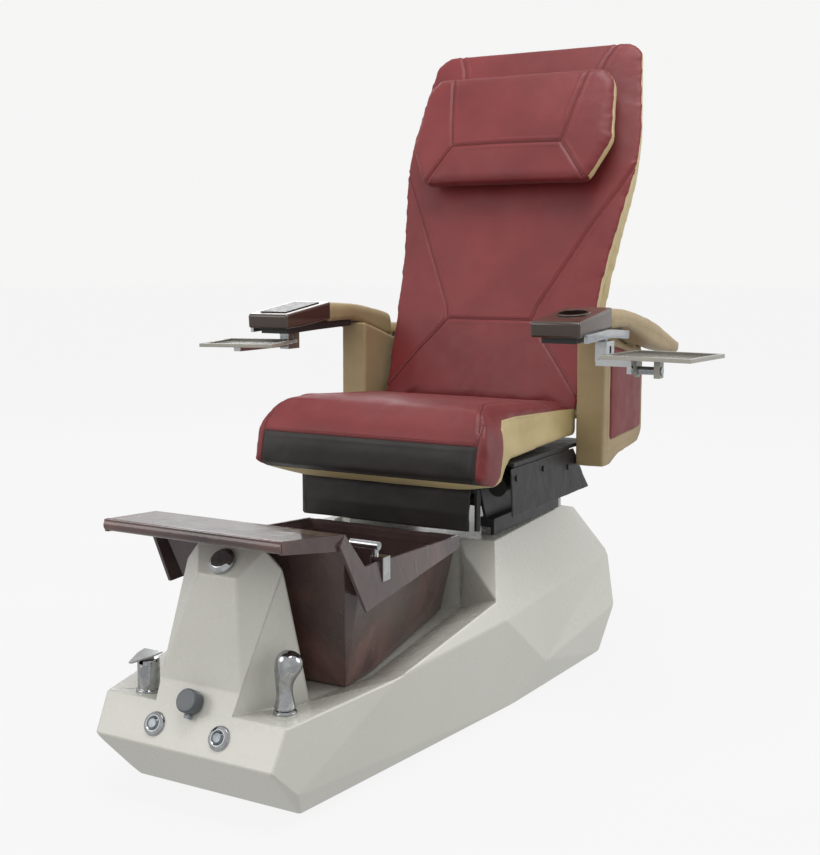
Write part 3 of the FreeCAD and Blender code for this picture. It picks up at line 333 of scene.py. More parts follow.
def new_piece(name, mesh, like=None, body=None, material=None):
    """A visible piece that rides on a body, and stands for a CAD node if it is like one."""
    obj = bpy.data.objects.new(name, mesh)
    scene.collection.objects.link(obj)
    slot = SLOT[like] if like else None
    if not mesh.materials:
        mesh.materials.append(material or FINISH[slot])
    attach(obj, body or BODY[like])
    if like:
        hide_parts(like)
    return obj


def cad_mesh(node):
    """A clean copy of a CAD node's mesh, with flat faces joined up."""
    mesh = nodes[node].data.copy()
    mesh.materials.clear()
    bm = bmesh.new()
    bm.from_mesh(mesh)
    bmesh.ops.remove_doubles(bm, verts=bm.verts, dist=2e-6)
    bmesh.ops.dissolve_limit(bm, angle_limit=math.radians(0.6), verts=bm.verts, edges=bm.edges)
    bm.to_mesh(mesh)
    bm.free()
    for name in [a.name for a in mesh.attributes if a.name.startswith("custom_normal")]:
        mesh.attributes.remove(mesh.attributes[name])
    return mesh


def smooth(mesh, angle=32):
    mesh.shade_smooth()
    mesh.set_sharp_from_angle(angle=math.radians(angle))


def soften(obj, width, angle=28, segments=2):
    """Round an object's edges with a bevel."""
    bevel = obj.modifiers.new("Rounded", "BEVEL")
    bevel.width = width
    bevel.segments = segments
    bevel.limit_method = "ANGLE"
    bevel.angle_limit = math.radians(angle)
    bevel.use_clamp_overlap = True
    bevel.harden_normals = False
    return obj


def refined(node, width, segments=2, material=None):
    """The CAD shape with rounded edges and smooth shading."""
    mesh = cad_mesh(node)
    smooth(mesh, 40)
    obj = new_piece(f"{node}_finish", mesh, like=node, material=material)
    return soften(obj, width, segments=segments)


def evaluated(obj):
    """The object's mesh with its modifiers applied."""
    graph = bpy.context.evaluated_depsgraph_get()
    mesh = bpy.data.meshes.new_from_object(obj.evaluated_get(graph))
    obj.modifiers.clear()
    obj.data = mesh
    return mesh


def bevel_edges(mesh, chosen, width, segments=3):
    """Round the edges that chosen(edge) picks."""
    bm = bmesh.new()
    bm.from_mesh(mesh)
    bm.edges.ensure_lookup_table()
    edges = [edge for edge in bm.edges if chosen(edge)]
    bmesh.ops.bevel(bm, geom=edges, offset=width, segments=segments, profile=0.5, affect="EDGES",
                    clamp_overlap=True)
    bm.to_mesh(mesh)
    bm.free()


def value_on(line, at):
    """The second number of a row of pairs, read off at a first number."""
    for (a0, b0), (a1, b1) in zip(line, line[1:]):
        if at <= a1:
            return b0 + (b1 - b0) * (at - a0) / (a1 - a0)
    return line[-1][1]


def length_of(edge):
    return (edge.verts[0].co - edge.verts[1].co).length


def bend_of(edge):
    return math.degrees(edge.calc_face_angle(0.0)) if len(edge.link_faces) == 2 else 0.0


# ---------------------------------------------------------------- the back's own frame

LEAN = math.radians(21.3)
BACK_FOOT = Vector((0, 0.323, 0.584))
BACK_DEPTH = Vector((0, math.cos(LEAN), -math.sin(LEAN)))
BACK_UP = Vector((0, math.sin(LEAN), math.cos(LEAN)))


def on_back(x, n, s):
    """A point x across, n behind the back's front surface and s up it, all in millimetres."""
    return BACK_FOOT + Vector((x * MM, 0, 0)) + BACK_DEPTH * (n * MM) + BACK_UP * (s * MM)


def in_back(point):
    """The reverse of on_back."""
    offset = point - BACK_FOOT
    return offset.x / MM, offset.dot(BACK_DEPTH) / MM, offset.dot(BACK_UP) / MM


# ---------------------------------------------------------------- soft goods

def remeshed(mesh, voxel):
    """The same form in even small faces."""
    obj = bpy.data.objects.new("remesh", mesh)
    scene.collection.objects.link(obj)
    mod = obj.modifiers.new("Remesh", "REMESH")
    mod.mode = "VOXEL"
    mod.voxel_size = voxel
    result = evaluated(obj)
    bpy.data.objects.remove(obj)
    return result


def relax(mesh, rounds):
    """Smooth the mesh by averaging each point with its neighbours."""
    bm = bmesh.new()
    bm.from_mesh(mesh)
    for _ in range(rounds):
        bmesh.ops.smooth_vert(bm, verts=bm.verts, factor=0.5, use_axis_x=True, use_axis_y=True,
                              use_axis_z=True)
    bm.to_mesh(mesh)
    bm.free()


CLOTH_PRESSURE = 4.0
CLOTH_STIFFNESS = 12.0
CLOTH_FRAMES = 20


def inflate(mesh, cap):
    """Swell a closed form with a cloth simulation; cap(rest point) limits each point's travel."""
    obj = bpy.data.objects.new("pad", mesh)
    scene.collection.objects.link(obj)
    rest = [v.co.copy() for v in mesh.vertices]
    cloth = obj.modifiers.new("Cloth", "CLOTH")
    settings = cloth.settings
    settings.quality = 5
    settings.mass = 0.3
    settings.tension_stiffness = CLOTH_STIFFNESS
    settings.compression_stiffness = CLOTH_STIFFNESS
    settings.bending_stiffness = 0.5
    settings.use_pressure = True
    settings.uniform_pressure_force = CLOTH_PRESSURE
    settings.effector_weights.gravity = 0
    cloth.point_cache.frame_start = 1
    cloth.point_cache.frame_end = CLOTH_FRAMES
    for number in range(1, CLOTH_FRAMES + 1):
        scene.frame_set(number)
    graph = bpy.context.evaluated_depsgraph_get()
    swollen = obj.evaluated_get(graph).to_mesh()
    moved = [v.co.copy() for v in swollen.vertices]
    obj.evaluated_get(graph).to_mesh_clear()
    obj.modifiers.clear()
    for vertex, start, end in zip(mesh.vertices, rest, moved):
        travel = end - start
        limit = cap(start)
        if travel.length > limit:
            travel *= limit / travel.length
        vertex.co = start + travel
    scene.frame_set(1)
    bpy.data.objects.remove(obj)
    relax(mesh, 2)
    return mesh


def subdivided(mesh):
    obj = bpy.data.objects.new("subdivide", mesh)
    scene.collection.objects.link(obj)
    mod = obj.modifiers.new("Subdivision", "SUBSURF")
    mod.levels = 1
    mod.render_levels = 1
    result = evaluated(obj)
    bpy.data.objects.remove(obj)
    return result


def nearest_on_lines(point, lines):
    """Distance from a point to the nearest of several polylines."""
    best = 1e9
    for line in lines:
        for a, b in zip(line, line[1:]):
            along = b - a
            t = max(0.0, min(1.0, (point - a).dot(along) / along.length_squared))
            best = min(best, (point - a - along * t).length_squared)
    return math.sqrt(best)


def press_seams(mesh, lines, depth, width):
    """Draw the surface in along the seams, and puff it slightly beside them."""
    boxes = [(Vector(map(min, zip(*line))), Vector(map(max, zip(*line)))) for line in lines]
    reach = 3.2 * width
    moves = []
    for vertex in mesh.vertices:
        near = [line for line, (low, high) in zip(lines, boxes)
                if all(low[i] - reach < vertex.co[i] < high[i] + reach for i in range(3))]
        if not near:
            continue
        gap = nearest_on_lines(vertex.co, near)
        if gap < reach:
            groove = math.exp(-(gap / width) ** 2)
            puff = 0.35 * math.exp(-((gap - 2 * width) / width) ** 2)
            moves.append((vertex, vertex.normal * (depth * (puff - groove))))
    for vertex, move in moves:
        vertex.co += move


def wrinkle(mesh, strength, scale, seed):
    """Uneven, slightly puckered surface."""
    shift = Vector((seed, seed * 1.7, seed * 0.6))
    normals = [v.normal.copy() for v in mesh.vertices]
    for vertex, normal in zip(mesh.vertices, normals):
        at = vertex.co * scale + shift
        vertex.co += normal * (strength * noise.fractal(at, 1.0, 2.0, 3))


def surface_line(tree, points, direction, step=0.004):
    """A line of points laid on a surface: points are cast onto it along a direction."""
    laid = []
    for a, b in zip(points, points[1:]):
        count = max(1, round((b - a).length / step))
        for index in range(count + (b is points[-1])):
            spot = a.lerp(b, index / count)
            hit, normal, _, _ = tree.ray_cast(spot - direction * 0.2, direction)
            if hit is not None:
                laid.append((hit, normal))
    return laid


STITCH_PITCH = 0.0062
STITCH_LENGTH = STITCH_PITCH * 0.72
STITCH_RADIUS = 0.0007


def stitches(name, tree, lines, direction, body, material, offset=0.0):
    """Rows of topstitching along lines laid on a surface."""
    bm = bmesh.new()
    for points in lines:
        laid = surface_line(tree, points, direction, 0.001)
        if len(laid) < 3:
            continue
        spots, walked, last = [], 0.0, laid[0][0]
        for hit, normal in laid:
            walked += (hit - last).length
            last = hit
            spots.append((walked, hit, normal))
        start = 0.0
        index = 0
        while start + STITCH_LENGTH < walked:
            while index < len(spots) and spots[index][0] < start:
                index += 1
            after = index
            while after < len(spots) - 1 and spots[after][0] < start + STITCH_LENGTH:
                after += 1
            if after > index:
                _, a, na = spots[index]
                _, b, nb = spots[after]
                along = b - a
                if 1e-4 < along.length < STITCH_PITCH * 1.6:
                    side = along.cross(na).normalized()
                    lift = (na + nb).normalized() * STITCH_RADIUS * 0.5 + side * offset
                    middle = (a + b) / 2 + lift
                    turn = along.to_track_quat("Z", "Y").to_matrix().to_4x4()
                    shape = Matrix.Diagonal((STITCH_RADIUS, STITCH_RADIUS, along.length / 2, 1))
                    bmesh.ops.create_uvsphere(bm, u_segments=6, v_segments=4, radius=1.0,
                                              matrix=Matrix.Translation(middle) @ turn @ shape)
            start += STITCH_PITCH
    mesh = bpy.data.meshes.new(name)
    bm.to_mesh(mesh)
    bm.free()
    mesh.shade_smooth()
    mesh.materials.append(material)
    return new_piece(name, mesh, body=body, material=material)


FOLD_RADIUS = 0.0011
FOLD_SINK = 0.0005
FOLD_SIDES = 8


def sweep(bm, spots):
    """Add a round bead swept through points."""
    rings = []
    for index, spot in enumerate(spots):
        before = spots[max(index - 1, 0)]
        after = spots[min(index + 1, len(spots) - 1)]
        axis = (after - before).normalized()
        across = axis.orthogonal().normalized()
        if rings:
            across = (rings[-1][1] - axis * rings[-1][1].dot(axis)).normalized()
        over = axis.cross(across)
        ring = [bm.verts.new(spot + (across * math.cos(t) + over * math.sin(t)) * FOLD_RADIUS)
                for t in (2 * math.pi * k / FOLD_SIDES for k in range(FOLD_SIDES))]
        rings.append((ring, across))
    for (a, _), (b, _) in zip(rings, rings[1:]):
        for k in range(FOLD_SIDES):
            bm.faces.new((a[k], a[(k + 1) % FOLD_SIDES], b[(k + 1) % FOLD_SIDES], b[k]))
    bm.faces.new(list(reversed(rings[0][0])))
    bm.faces.new(rings[-1][0])


def seam_lines(name, tree, lines, direction, body):
    """The sewn folds: fine dark beads sunk along lines on a surface."""
    bm = bmesh.new()
    for points in lines:
        laid = surface_line(tree, points, direction, 0.004)
        if len(laid) > 2:
            sweep(bm, [hit - normal * FOLD_SINK for hit, normal in laid])
    bmesh.ops.recalc_face_normals(bm, faces=bm.faces)
    mesh = bpy.data.meshes.new(name)
    bm.to_mesh(mesh)
    bm.free()
    mesh.shade_smooth()
    mesh.materials.append(SEAM_RED)
    return new_piece(name, mesh, body=body)


def split_faces(mesh, planes):
    """Cut faces along planes, so that a colour boundary is a clean line."""
    bm = bmesh.new()
    bm.from_mesh(mesh)
    for point, normal in planes:
        geom = bm.verts[:] + bm.edges[:] + bm.faces[:]
        bmesh.ops.bisect_plane(bm, geom=geom, dist=1e-5, plane_co=point, plane_no=normal)
    bm.to_mesh(mesh)
    bm.free()


def paint(mesh, materials, choose):
    """Give each face the material that choose(centre, normal) numbers."""
    mesh.materials.clear()
    for material in materials:
        mesh.materials.append(material)
    for face in mesh.polygons:
        face.material_index = choose(face.center, face.normal)


def tree_of(mesh):
    return BVHTree.FromPolygons([v.co[:] for v in mesh.vertices], [p.vertices[:] for p in mesh.polygons])


# ---------------------------------------------------------------- seat cushion

def seat():
    """Seat cushion: burgundy top, black front band, tan sides, and its seams."""
    low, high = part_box("seat_cushion")
    mesh = remeshed(cad_mesh("seat_cushion"), 0.006)
    relax(mesh, 3)
    half = high.x
    for vertex in mesh.vertices:
        front = max(0.0, min(1.0, (0.02 - vertex.co.y) / 0.12))
        drop = max(0.0, (vertex.co.z - 0.53) / 0.07) ** 2 * (0.010 + 0.022 * front)
        vertex.co.x *= (half + 0.006 + 0.006 * front - drop) / half

    def cap(at):
        bottom = max(0.0, min(1.0, (at.z - 0.50) / 0.05))
        front = max(0.0, min(1.0, (0.02 - at.y) / 0.08))
        rear = max(0.0, min(1.0, (high.y - 0.01 - at.y) / 0.05))
        return (0.002 + 0.008 * max(bottom, front * 0.6)) * rear

    mesh = subdivided(inflate(mesh, cap))
    edge = 0.246
    corner = [Vector(p) for p in (
        (edge, low.y, 0.470), (edge, low.y, 0.560), (0.242, -0.150, 0.6), (0.222, -0.100, 0.6),
        (0.200, -0.045, 0.6), (0.187, 0.020, 0.6), (0.186, 0.095, 0.6), (0.204, 0.180, 0.6),
        (0.240, 0.260, 0.6), (0.252, 0.300, 0.6))]
    tree = tree_of(mesh)
    down = Vector((0, 0, -1))
    onward = Vector((0, 1, 0))
    lines = []
    for side in (1, -1):
        top = [Vector((p.x * side, p.y, p.z)) for p in corner[2:]]
        lines.append([hit for hit, _ in surface_line(tree, top, down, 0.01)])
        front = [Vector((side * edge, -0.17, z)) for z in (0.475, 0.50, 0.53, 0.56, 0.585)]
        lines.append([hit for hit, _ in surface_line(tree, front, onward, 0.01)])
    band = [Vector((x, -0.17, 0.549)) for x in (-0.246, -0.1, 0.1, 0.246)]
    lines.append([hit for hit, _ in surface_line(tree, band, onward, 0.01)])
    press_seams(mesh, [line for line in lines if len(line) > 2], 0.0020, 0.0038)
    wrinkle(mesh, 0.0007, 14, 3.0)
    tan_line = [(-0.190, 0.477), (-0.160, 0.474), (-0.125, 0.467), (-0.098, 0.484), (-0.083, 0.523),
                (-0.074, 0.571), (-0.052, 0.586), (0.010, 0.587), (0.135, 0.581), (0.310, 0.573)]
    planes = [(Vector((0, 0, 0.549)), Vector((0, 0, 1))), (Vector((edge, 0, 0)), Vector((1, 0, 0))),
              (Vector((-edge, 0, 0)), Vector((1, 0, 0)))]
    for (y0, z0), (y1, z1) in zip(tan_line, tan_line[1:]):
        planes.append((Vector((0, y0, z0)), Vector((0, z0 - z1, y1 - y0)).normalized()))
    split_faces(mesh, planes)

    def above_line(y, z):
        """Whether a side point lies on the burgundy side of the border."""
        inside = False
        corners = [(-0.3, 0.477)] + tan_line + [(0.4, 0.573), (0.4, 0.8), (-0.3, 0.8)]
        for (ya, za), (yb, zb) in zip(corners, corners[1:] + corners[:1]):
            if (za > z) != (zb > z) and y < (yb - ya) * (z - za) / (zb - za) + ya:
                inside = not inside
        return inside

    def choose(at, normal):
        if not above_line(at.y, at.z):
            return 1
        if at.y < -0.12 and at.z < 0.549 and abs(at.x) < edge:
            return 2
        return 0

    paint(mesh, [BURGUNDY, TAN, BLACK_VINYL], choose)
    mesh.shade_smooth()
    cushion = new_piece("seat_cushion_soft", mesh, like="seat_cushion", material=BURGUNDY)
    tree = tree_of(mesh)
    folds = [[Vector((p.x * side, p.y, 0.62)) for p in corner[2:]] for side in (1, -1)]
    seam_lines("seat_folds_top", tree, folds, down, "seat")
    folds = [[Vector((side * edge, -0.19, z)) for z in (0.478, 0.53, 0.586)] for side in (1, -1)]
    folds.append([Vector((x, -0.19, 0.549)) for x in (-edge, edge)])
    seam_lines("seat_folds_front", tree, folds, onward, "seat")
    top_rows = []
    for side in (1, -1):
        top_rows.append([Vector((p.x * side - side * 0.004, p.y, 0.62)) for p in corner[2:-1]])
    stitches("seat_stitches_top", tree, top_rows, down, "seat", THREAD_RED)
    front_rows = [[Vector((x, -0.19, 0.5525)) for x in (-0.240, 0.240)]]
    front_rows += [[Vector((side * (edge + 0.003), -0.19, z)) for z in (0.476, 0.585)] for side in (1, -1)]
    stitches("seat_stitches_front", tree, front_rows, onward, "seat", THREAD_RED)
    for side in (1, -1):
        inward = Vector((-side, 0, 0))
        spots = [Vector((side * 0.3, y, z)) for y, z in tan_line[2:-1]]
        stitches(f"seat_stitches_side_{side + 1}", tree, [spots], inward, "seat", THREAD_TAN,
                 offset=0.003)


# ---------------------------------------------------------------- back cushion, cover and pillow

def mirrored(points):
    return [(-x, s) for x, s in points]


BACK_HALF = [(0, 244), (28, 246), (103, 250), (250, 267), (370, 280), (510, 295), (616, 307), (860, 276),
             (900, 270)]
BACK_TOP = 890


def back():
    """Back cushion: burgundy front, tan sides, seams in a K on each side and a top flap."""
    mesh = remeshed(cad_mesh("back_cushion"), 0.0065)
    relax(mesh, 6)

    def cap(at):
        x, n, s = in_back(at)
        if n > 30:
            return 0.001
        inward = min(value_on(BACK_HALF, s) - abs(x), BACK_TOP - s)
        return 0.0015 + 0.0065 * max(0.0, min(1.0, (inward - 15) / 60))

    for vertex in mesh.vertices:
        x, n, s = in_back(vertex.co)
        vertex.co.x *= 1.030 - 0.075 * n / 62
        if n < 34:
            vertex.co += BACK_DEPTH * (0.004 * (34 - n) / 34)
    mesh = inflate(mesh, cap)
    mesh = subdivided(mesh)
    seams = [
        [(-108, 187), (108, 187)],
        [(108, 187), (128, 160), (180, 96), (243, 14)],
        [(108, 187), (117, 220), (160, 306), (222, 428), (297, 566)],
        [(176, 800), (186, 840), (206, 882)],
        [(-176, 800), (176, 800)],
    ]
    seams += [mirrored(seam) for seam in seams[1:4]]
    tree = tree_of(mesh)
    rows = [[on_back(x, -10, s) for x, s in seam] for seam in seams]
    lines = [[hit for hit, _ in surface_line(tree, row, BACK_DEPTH, 0.01)] for row in rows]
    press_seams(mesh, [line for line in lines if len(line) > 2], 0.0024, 0.0042)
    wrinkle(mesh, 0.0009, 9, 8.0)
    split_faces(mesh, [(on_back(0, 9, 0), BACK_DEPTH)])
    paint(mesh, [BURGUNDY, TAN], lambda at, normal: int(in_back(at)[1] > 9))
    mesh.shade_smooth()
    cushion = new_piece("back_cushion_soft", mesh, like="back_cushion", material=BURGUNDY)
    tree = tree_of(mesh)
    seam_lines("back_folds", tree, [[on_back(x, -40, s) for x, s in seam] for seam in seams], BACK_DEPTH,
               "backrest")
    beside = [[on_back(x, -40, s + 5) for x, s in seams[0]]]
    beside += [[on_back(x + math.copysign(4, x), -40, s) for x, s in seam] for seam in seams[1:]
               if seam[0][0] * seam[1][0] > 0 and seam is not seams[4]]
    stitches("back_stitches", tree, beside, BACK_DEPTH, "backrest", THREAD_RED)


def cover():
    """Rear cover of the back, smoothed and lightly wrinkled, with two upright and two crosswise rows of
    stitches.
    """
    mesh = remeshed(cad_mesh("back_shell"), 0.004)
    relax(mesh, 10)
    wrinkle(mesh, 0.0012, 12, 5.0)
    mesh.shade_smooth()
    shell = new_piece("back_shell_soft", mesh, like="back_shell")
    tree = tree_of(mesh)
    rows = [[on_back(x, 200, 40), on_back(x, 200, 800)] for x in (-120, 120)]
    rows += [[on_back(-215, 200, s), on_back(215, 200, s)] for s in (330, 660)]
    stitches("back_shell_stitches", tree, rows, -BACK_DEPTH, "backrest", THREAD_TAN)


PILLOW_OUTLINE = [(215, 503), (262, 602), (246, 754), (216, 786)]


def pillow():
    """Six-sided head pillow: thin edge band, crowned front with faceted seams."""
    bm = bmesh.new()
    right = PILLOW_OUTLINE
    outline = right + [(-x, s) for x, s in reversed(right)]
    front = [bm.verts.new(on_back(x, -62, s)) for x, s in outline]
    rear = [bm.verts.new(on_back(x * 0.98, -28, 660 + (s - 660) * 0.98)) for x, s in outline]
    bm.faces.new(front)
    bm.faces.new(list(reversed(rear)))
    count = len(outline)
    for k in range(count):
        bm.faces.new((front[(k + 1) % count], front[k], rear[k], rear[(k + 1) % count]))
    bmesh.ops.recalc_face_normals(bm, faces=bm.faces)
    corners = [e for e in bm.edges if abs((e.verts[0].co - e.verts[1].co).normalized().dot(BACK_DEPTH)) > 0.8]
    bmesh.ops.bevel(bm, geom=corners, offset=0.014, segments=5, profile=0.5, affect="EDGES")
    mesh = bpy.data.meshes.new("pillow")
    bm.to_mesh(mesh)
    bm.free()
    mesh = remeshed(mesh, 0.005)
    relax(mesh, 3)
    mesh = inflate(mesh, lambda at: 0.004)
    relax(mesh, 3)
    for vertex in mesh.vertices:
        x, n, s = in_back(vertex.co)
        crown = max(0.0, 1 - (x / 262) ** 2) * max(0.0, 1 - ((s - 645) / 146) ** 2)
        if n < -45:
            vertex.co -= BACK_DEPTH * (0.016 * crown)
            n -= 16 * crown
        if n > -5:
            vertex.co -= BACK_DEPTH * ((n + 5) * MM)
        if n < -86:
            vertex.co -= BACK_DEPTH * ((n + 86) * MM)
    mesh = subdivided(mesh)
    seams = [[(-140, 596), (140, 596)], [(140, 596), (170, 757), (176, 792)], [(140, 596), (206, 506)]]
    seams += [mirrored(seam) for seam in seams[1:]]
    tree = tree_of(mesh)
    rows = [[on_back(x, -120, s) for x, s in seam] for seam in seams]
    lines = [[hit for hit, _ in surface_line(tree, row, BACK_DEPTH, 0.008)] for row in rows]
    press_seams(mesh, [line for line in lines if len(line) > 2], 0.0026, 0.0042)
    wrinkle(mesh, 0.0006, 16, 11.0)
    split_faces(mesh, [(on_back(0, -57, 0), BACK_DEPTH), (on_back(0, 0, 516), BACK_UP)])
    paint(mesh, [BURGUNDY, TAN], lambda at, normal: int(in_back(at)[1] > -57 and in_back(at)[2] > 516))
    mesh.shade_smooth()
    soft = new_piece("pillow_soft", mesh, like="pillow", material=BURGUNDY)
    tree = tree_of(mesh)
    seam_lines("pillow_folds", tree, [[on_back(x, -130, s) for x, s in seam] for seam in seams], BACK_DEPTH,
               "pillow")
    beside = [[on_back(x, -130, s + 4) for x, s in seams[0]]]
    beside += [[on_back(x + math.copysign(4, x), -130, s) for x, s in seam] for seam in seams[1:]]
    stitches("pillow_stitches", tree, beside, BACK_DEPTH, "pillow", THREAD_RED)


# ---------------------------------------------------------------- arms

ARM_TOP = [(154.5, 801), (200, 799), (250, 795.5), (300, 790.5), (340, 785), (380, 778), (420, 770),
           (460, 760), (500, 748.5), (540, 735.5), (575, 722.5), (605, 712.5), (630, 706)]
ARM_UNDER = [(154.5, 757), (262, 757), (300, 747), (340, 735.5), (400, 717), (460, 702.5), (520, 692),
             (570, 685), (618, 680.5), (630, 706)]


def arch(side, label):
    """Upholstered arch: rounded section lofted along the arm."""
    stations = [154.5 + k * 6.0 for k in range(78)] + [621, 625, 628]
    bm = bmesh.new()
    rings = []
    for y in stations:
        top, under = value_on(ARM_TOP, y), value_on(ARM_UNDER, y)
        blend = max(0.0, min(1.0, (y - 432) / 10))
        inner, outer = 287 + (337.5 - 287) * blend, 389
        tail = max(0.0, min(1.0, (y - 560) / 70)) ** 2
        outer -= 7 * tail
        tall = top - under
        big = min(24, tall * 0.55, (outer - inner) * 0.45)
        small = min(9, tall * 0.3, (outer - inner) * 0.3)
        ring = []
        for cx, cz, radius, start in ((outer, top, big, 0), (inner, top, big * 0.7, 90),
                                      (inner, under, small, 180), (outer, under, small, 270)):
            radius = min(radius, tall * 0.48)
            ox = cx - radius if start in (0, 270) else cx + radius
            oz = cz - radius if start in (0, 90) else cz + radius
            for k in range(7):
                t = math.radians(start + 15 * k)
                ring.append(bm.verts.new((side * (ox + radius * math.cos(t)) * MM, y * MM,
                                          (oz + radius * math.sin(t)) * MM)))
        rings.append(ring)
    for a, b in zip(rings, rings[1:]):
        for k in range(len(a)):
            bm.faces.new((a[k], a[(k + 1) % len(a)], b[(k + 1) % len(a)], b[k]))
    bm.faces.new(rings[0])
    bm.faces.new(list(reversed(rings[-1])))
    bmesh.ops.recalc_face_normals(bm, faces=bm.faces)
    mesh = bpy.data.meshes.new("arch")
    bm.to_mesh(mesh)
    bm.free()
    mesh = remeshed(mesh, 0.0035)
    relax(mesh, 4)
    wrinkle(mesh, 0.0009, 18, 2.0 + side)
    mesh.shade_smooth()
    soft = new_piece(f"arm_shell_{label}_soft", mesh, like=f"arm_shell_{label}", material=ARM_TAN)
    tree = tree_of(mesh)
    row = [Vector((side * 0.5, y * MM, (value_on(ARM_TOP, y) - 27) * MM)) for y in range(175, 540, 40)]
    stitches(f"arm_stitches_{label}", tree, [row], Vector((-side, 0, 0)), f"arm_{label}", THREAD_TAN)


def post(side, label):
    """Vinyl-covered post and its inset panel."""
    mesh = remeshed(cad_mesh(f"arm_post_{label}"), 0.0032)
    relax(mesh, 7)
    wrinkle(mesh, 0.0009, 14, 6.0 + side)
    mesh.shade_smooth()
    soft = new_piece(f"arm_post_{label}_soft", mesh, like=f"arm_post_{label}", material=ARM_TAN)
    tree = tree_of(mesh)
    rows = [[Vector((side * 0.5, 0.296, z)) for z in (0.480, 0.735)],
            [Vector((side * 0.5, y, z)) for y, z in ((0.296, 0.480), (0.37, 0.489), (0.50, 0.499))]]
    stitches(f"post_stitches_{label}", tree, rows, Vector((-side, 0, 0)), "seat", THREAD_TAN)
    panel = remeshed(cad_mesh(f"arm_panel_{label}"), 0.0032)
    relax(panel, 4)
    outer = max(abs(v.co.x) for v in panel.vertices)
    low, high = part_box(f"arm_panel_{label}")
    centre = (low + high) / 2
    for vertex in panel.vertices:
        if abs(vertex.co.x) > outer - 0.003:
            across = abs(vertex.co.y - centre.y) / ((high.y - low.y) / 2)
            up = abs(vertex.co.z - centre.z) / ((high.z - low.z) / 2)
            vertex.co.x += side * 0.0045 * max(0.0, 1 - across ** 4) * max(0.0, 1 - up ** 4)
    wrinkle(panel, 0.0009, 16, 9.0 + side)
    panel.shade_smooth()
    inset = new_piece(f"arm_panel_{label}_soft", panel, like=f"arm_panel_{label}")


def arm_pad(label):
    """Glossy moulded arm pad with rounded long edges."""
    node = f"arm_pad_{label}"
    mesh = cad_mesh(node)
    low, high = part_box(node)
    edges_x = (low.x, high.x)

    def chosen(edge):
        a, b = edge.verts
        flat = any(abs(a.co.x - x) < 1e-4 and abs(b.co.x - x) < 1e-4 for x in edges_x)
        return flat and bend_of(edge) > 20
    bevel_edges(mesh, chosen, 0.0055, 4)
    smooth(mesh, 35)
    new_piece(f"{node}_finish", mesh, like=node)


# ---------------------------------------------------------------- base, basin and fittings

def base():
    """The faceted moulding with softly rounded ridges."""
    mesh = cad_mesh("base_shell")

    def chosen(edge):
        if bend_of(edge) < 4 or length_of(edge) < 0.02:
            return False
        return edge.is_convex or length_of(edge) > 0.045
    bm = bmesh.new()
    bm.from_mesh(mesh)
    layer = bm.edges.layers.float.get("bevel_weight_edge") or bm.edges.layers.float.new("bevel_weight_edge")
    for edge in bm.edges:
        if chosen(edge):
            edge[layer] = 1.0
    bm.to_mesh(mesh)
    bm.free()
    smooth(mesh, 60)
    obj = new_piece("base_shell_finish", mesh, like="base_shell")
    bevel = obj.modifiers.new("Ridges", "BEVEL")
    bevel.width = 0.0038
    bevel.segments = 3
    bevel.limit_method = "WEIGHT"
    bevel.use_clamp_overlap = False
    bevel.harden_normals = True


def foot_basin():
    mesh = cad_mesh("basin")
    smooth(mesh, 40)
    obj = new_piece("basin_finish", mesh, like="basin")
    soften(obj, 0.0022, 20, 3)


def sprayer_piece():
    """Hooked chrome hand spray: stem rising into a rounded head."""
    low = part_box("sprayer_handle")[0]
    socket_low, socket_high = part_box("sprayer_socket")
    axis = Vector(((socket_low.x + socket_high.x) / 2, (socket_low.y + socket_high.y) / 2, 0))
    foot = socket_high.z
    spots = [
        ((0, 0, low.z - foot), 0.0095), ((0, 0, -0.002), 0.0098), ((0, 0, 0.001), 0.0175),
        ((0, 0, 0.004), 0.0185), ((0, 0, 0.010), 0.0165), ((0, 0, 0.020), 0.0142),
        ((-0.001, 0, 0.032), 0.0136), ((-0.001, 0, 0.045), 0.0150), ((0.001, 0.001, 0.058), 0.0185),
        ((0.004, 0.002, 0.070), 0.0225), ((0.007, 0.004, 0.080), 0.0240), ((0.010, 0.006, 0.089), 0.0215),
        ((0.012, 0.007, 0.095), 0.0150), ((0.013, 0.008, 0.098), 0.0060),
    ]
    bm = bmesh.new()
    rings = []
    sides = 28
    for index, (spot, radius) in enumerate(spots):
        ahead = Vector(spots[min(index + 1, len(spots) - 1)][0]) - Vector(spots[max(index - 1, 0)][0])
        up = ahead.normalized()
        across = (Vector((1, 0, 0)) - up * up.x).normalized()
        over = up.cross(across)
        centre = axis + Vector((0, 0, foot)) + Vector(spot)
        rings.append([bm.verts.new(centre + (across * math.cos(t) + over * math.sin(t)) * radius)
                      for t in (2 * math.pi * k / sides for k in range(sides))])
    for a, b in zip(rings, rings[1:]):
        for k in range(sides):
            bm.faces.new((a[k], a[(k + 1) % sides], b[(k + 1) % sides], b[k]))
    bm.faces.new(list(reversed(rings[0])))
    bm.faces.new(rings[-1])
    bmesh.ops.recalc_face_normals(bm, faces=bm.faces)
    mesh = bpy.data.meshes.new("sprayer")
    bm.to_mesh(mesh)
    bm.free()
    mesh.shade_smooth()
    obj = new_piece("sprayer_handle_finish", mesh, like="sprayer_handle")
    mod = obj.modifiers.new("Subdivision", "SUBSURF")
    mod.levels = mod.render_levels = 2


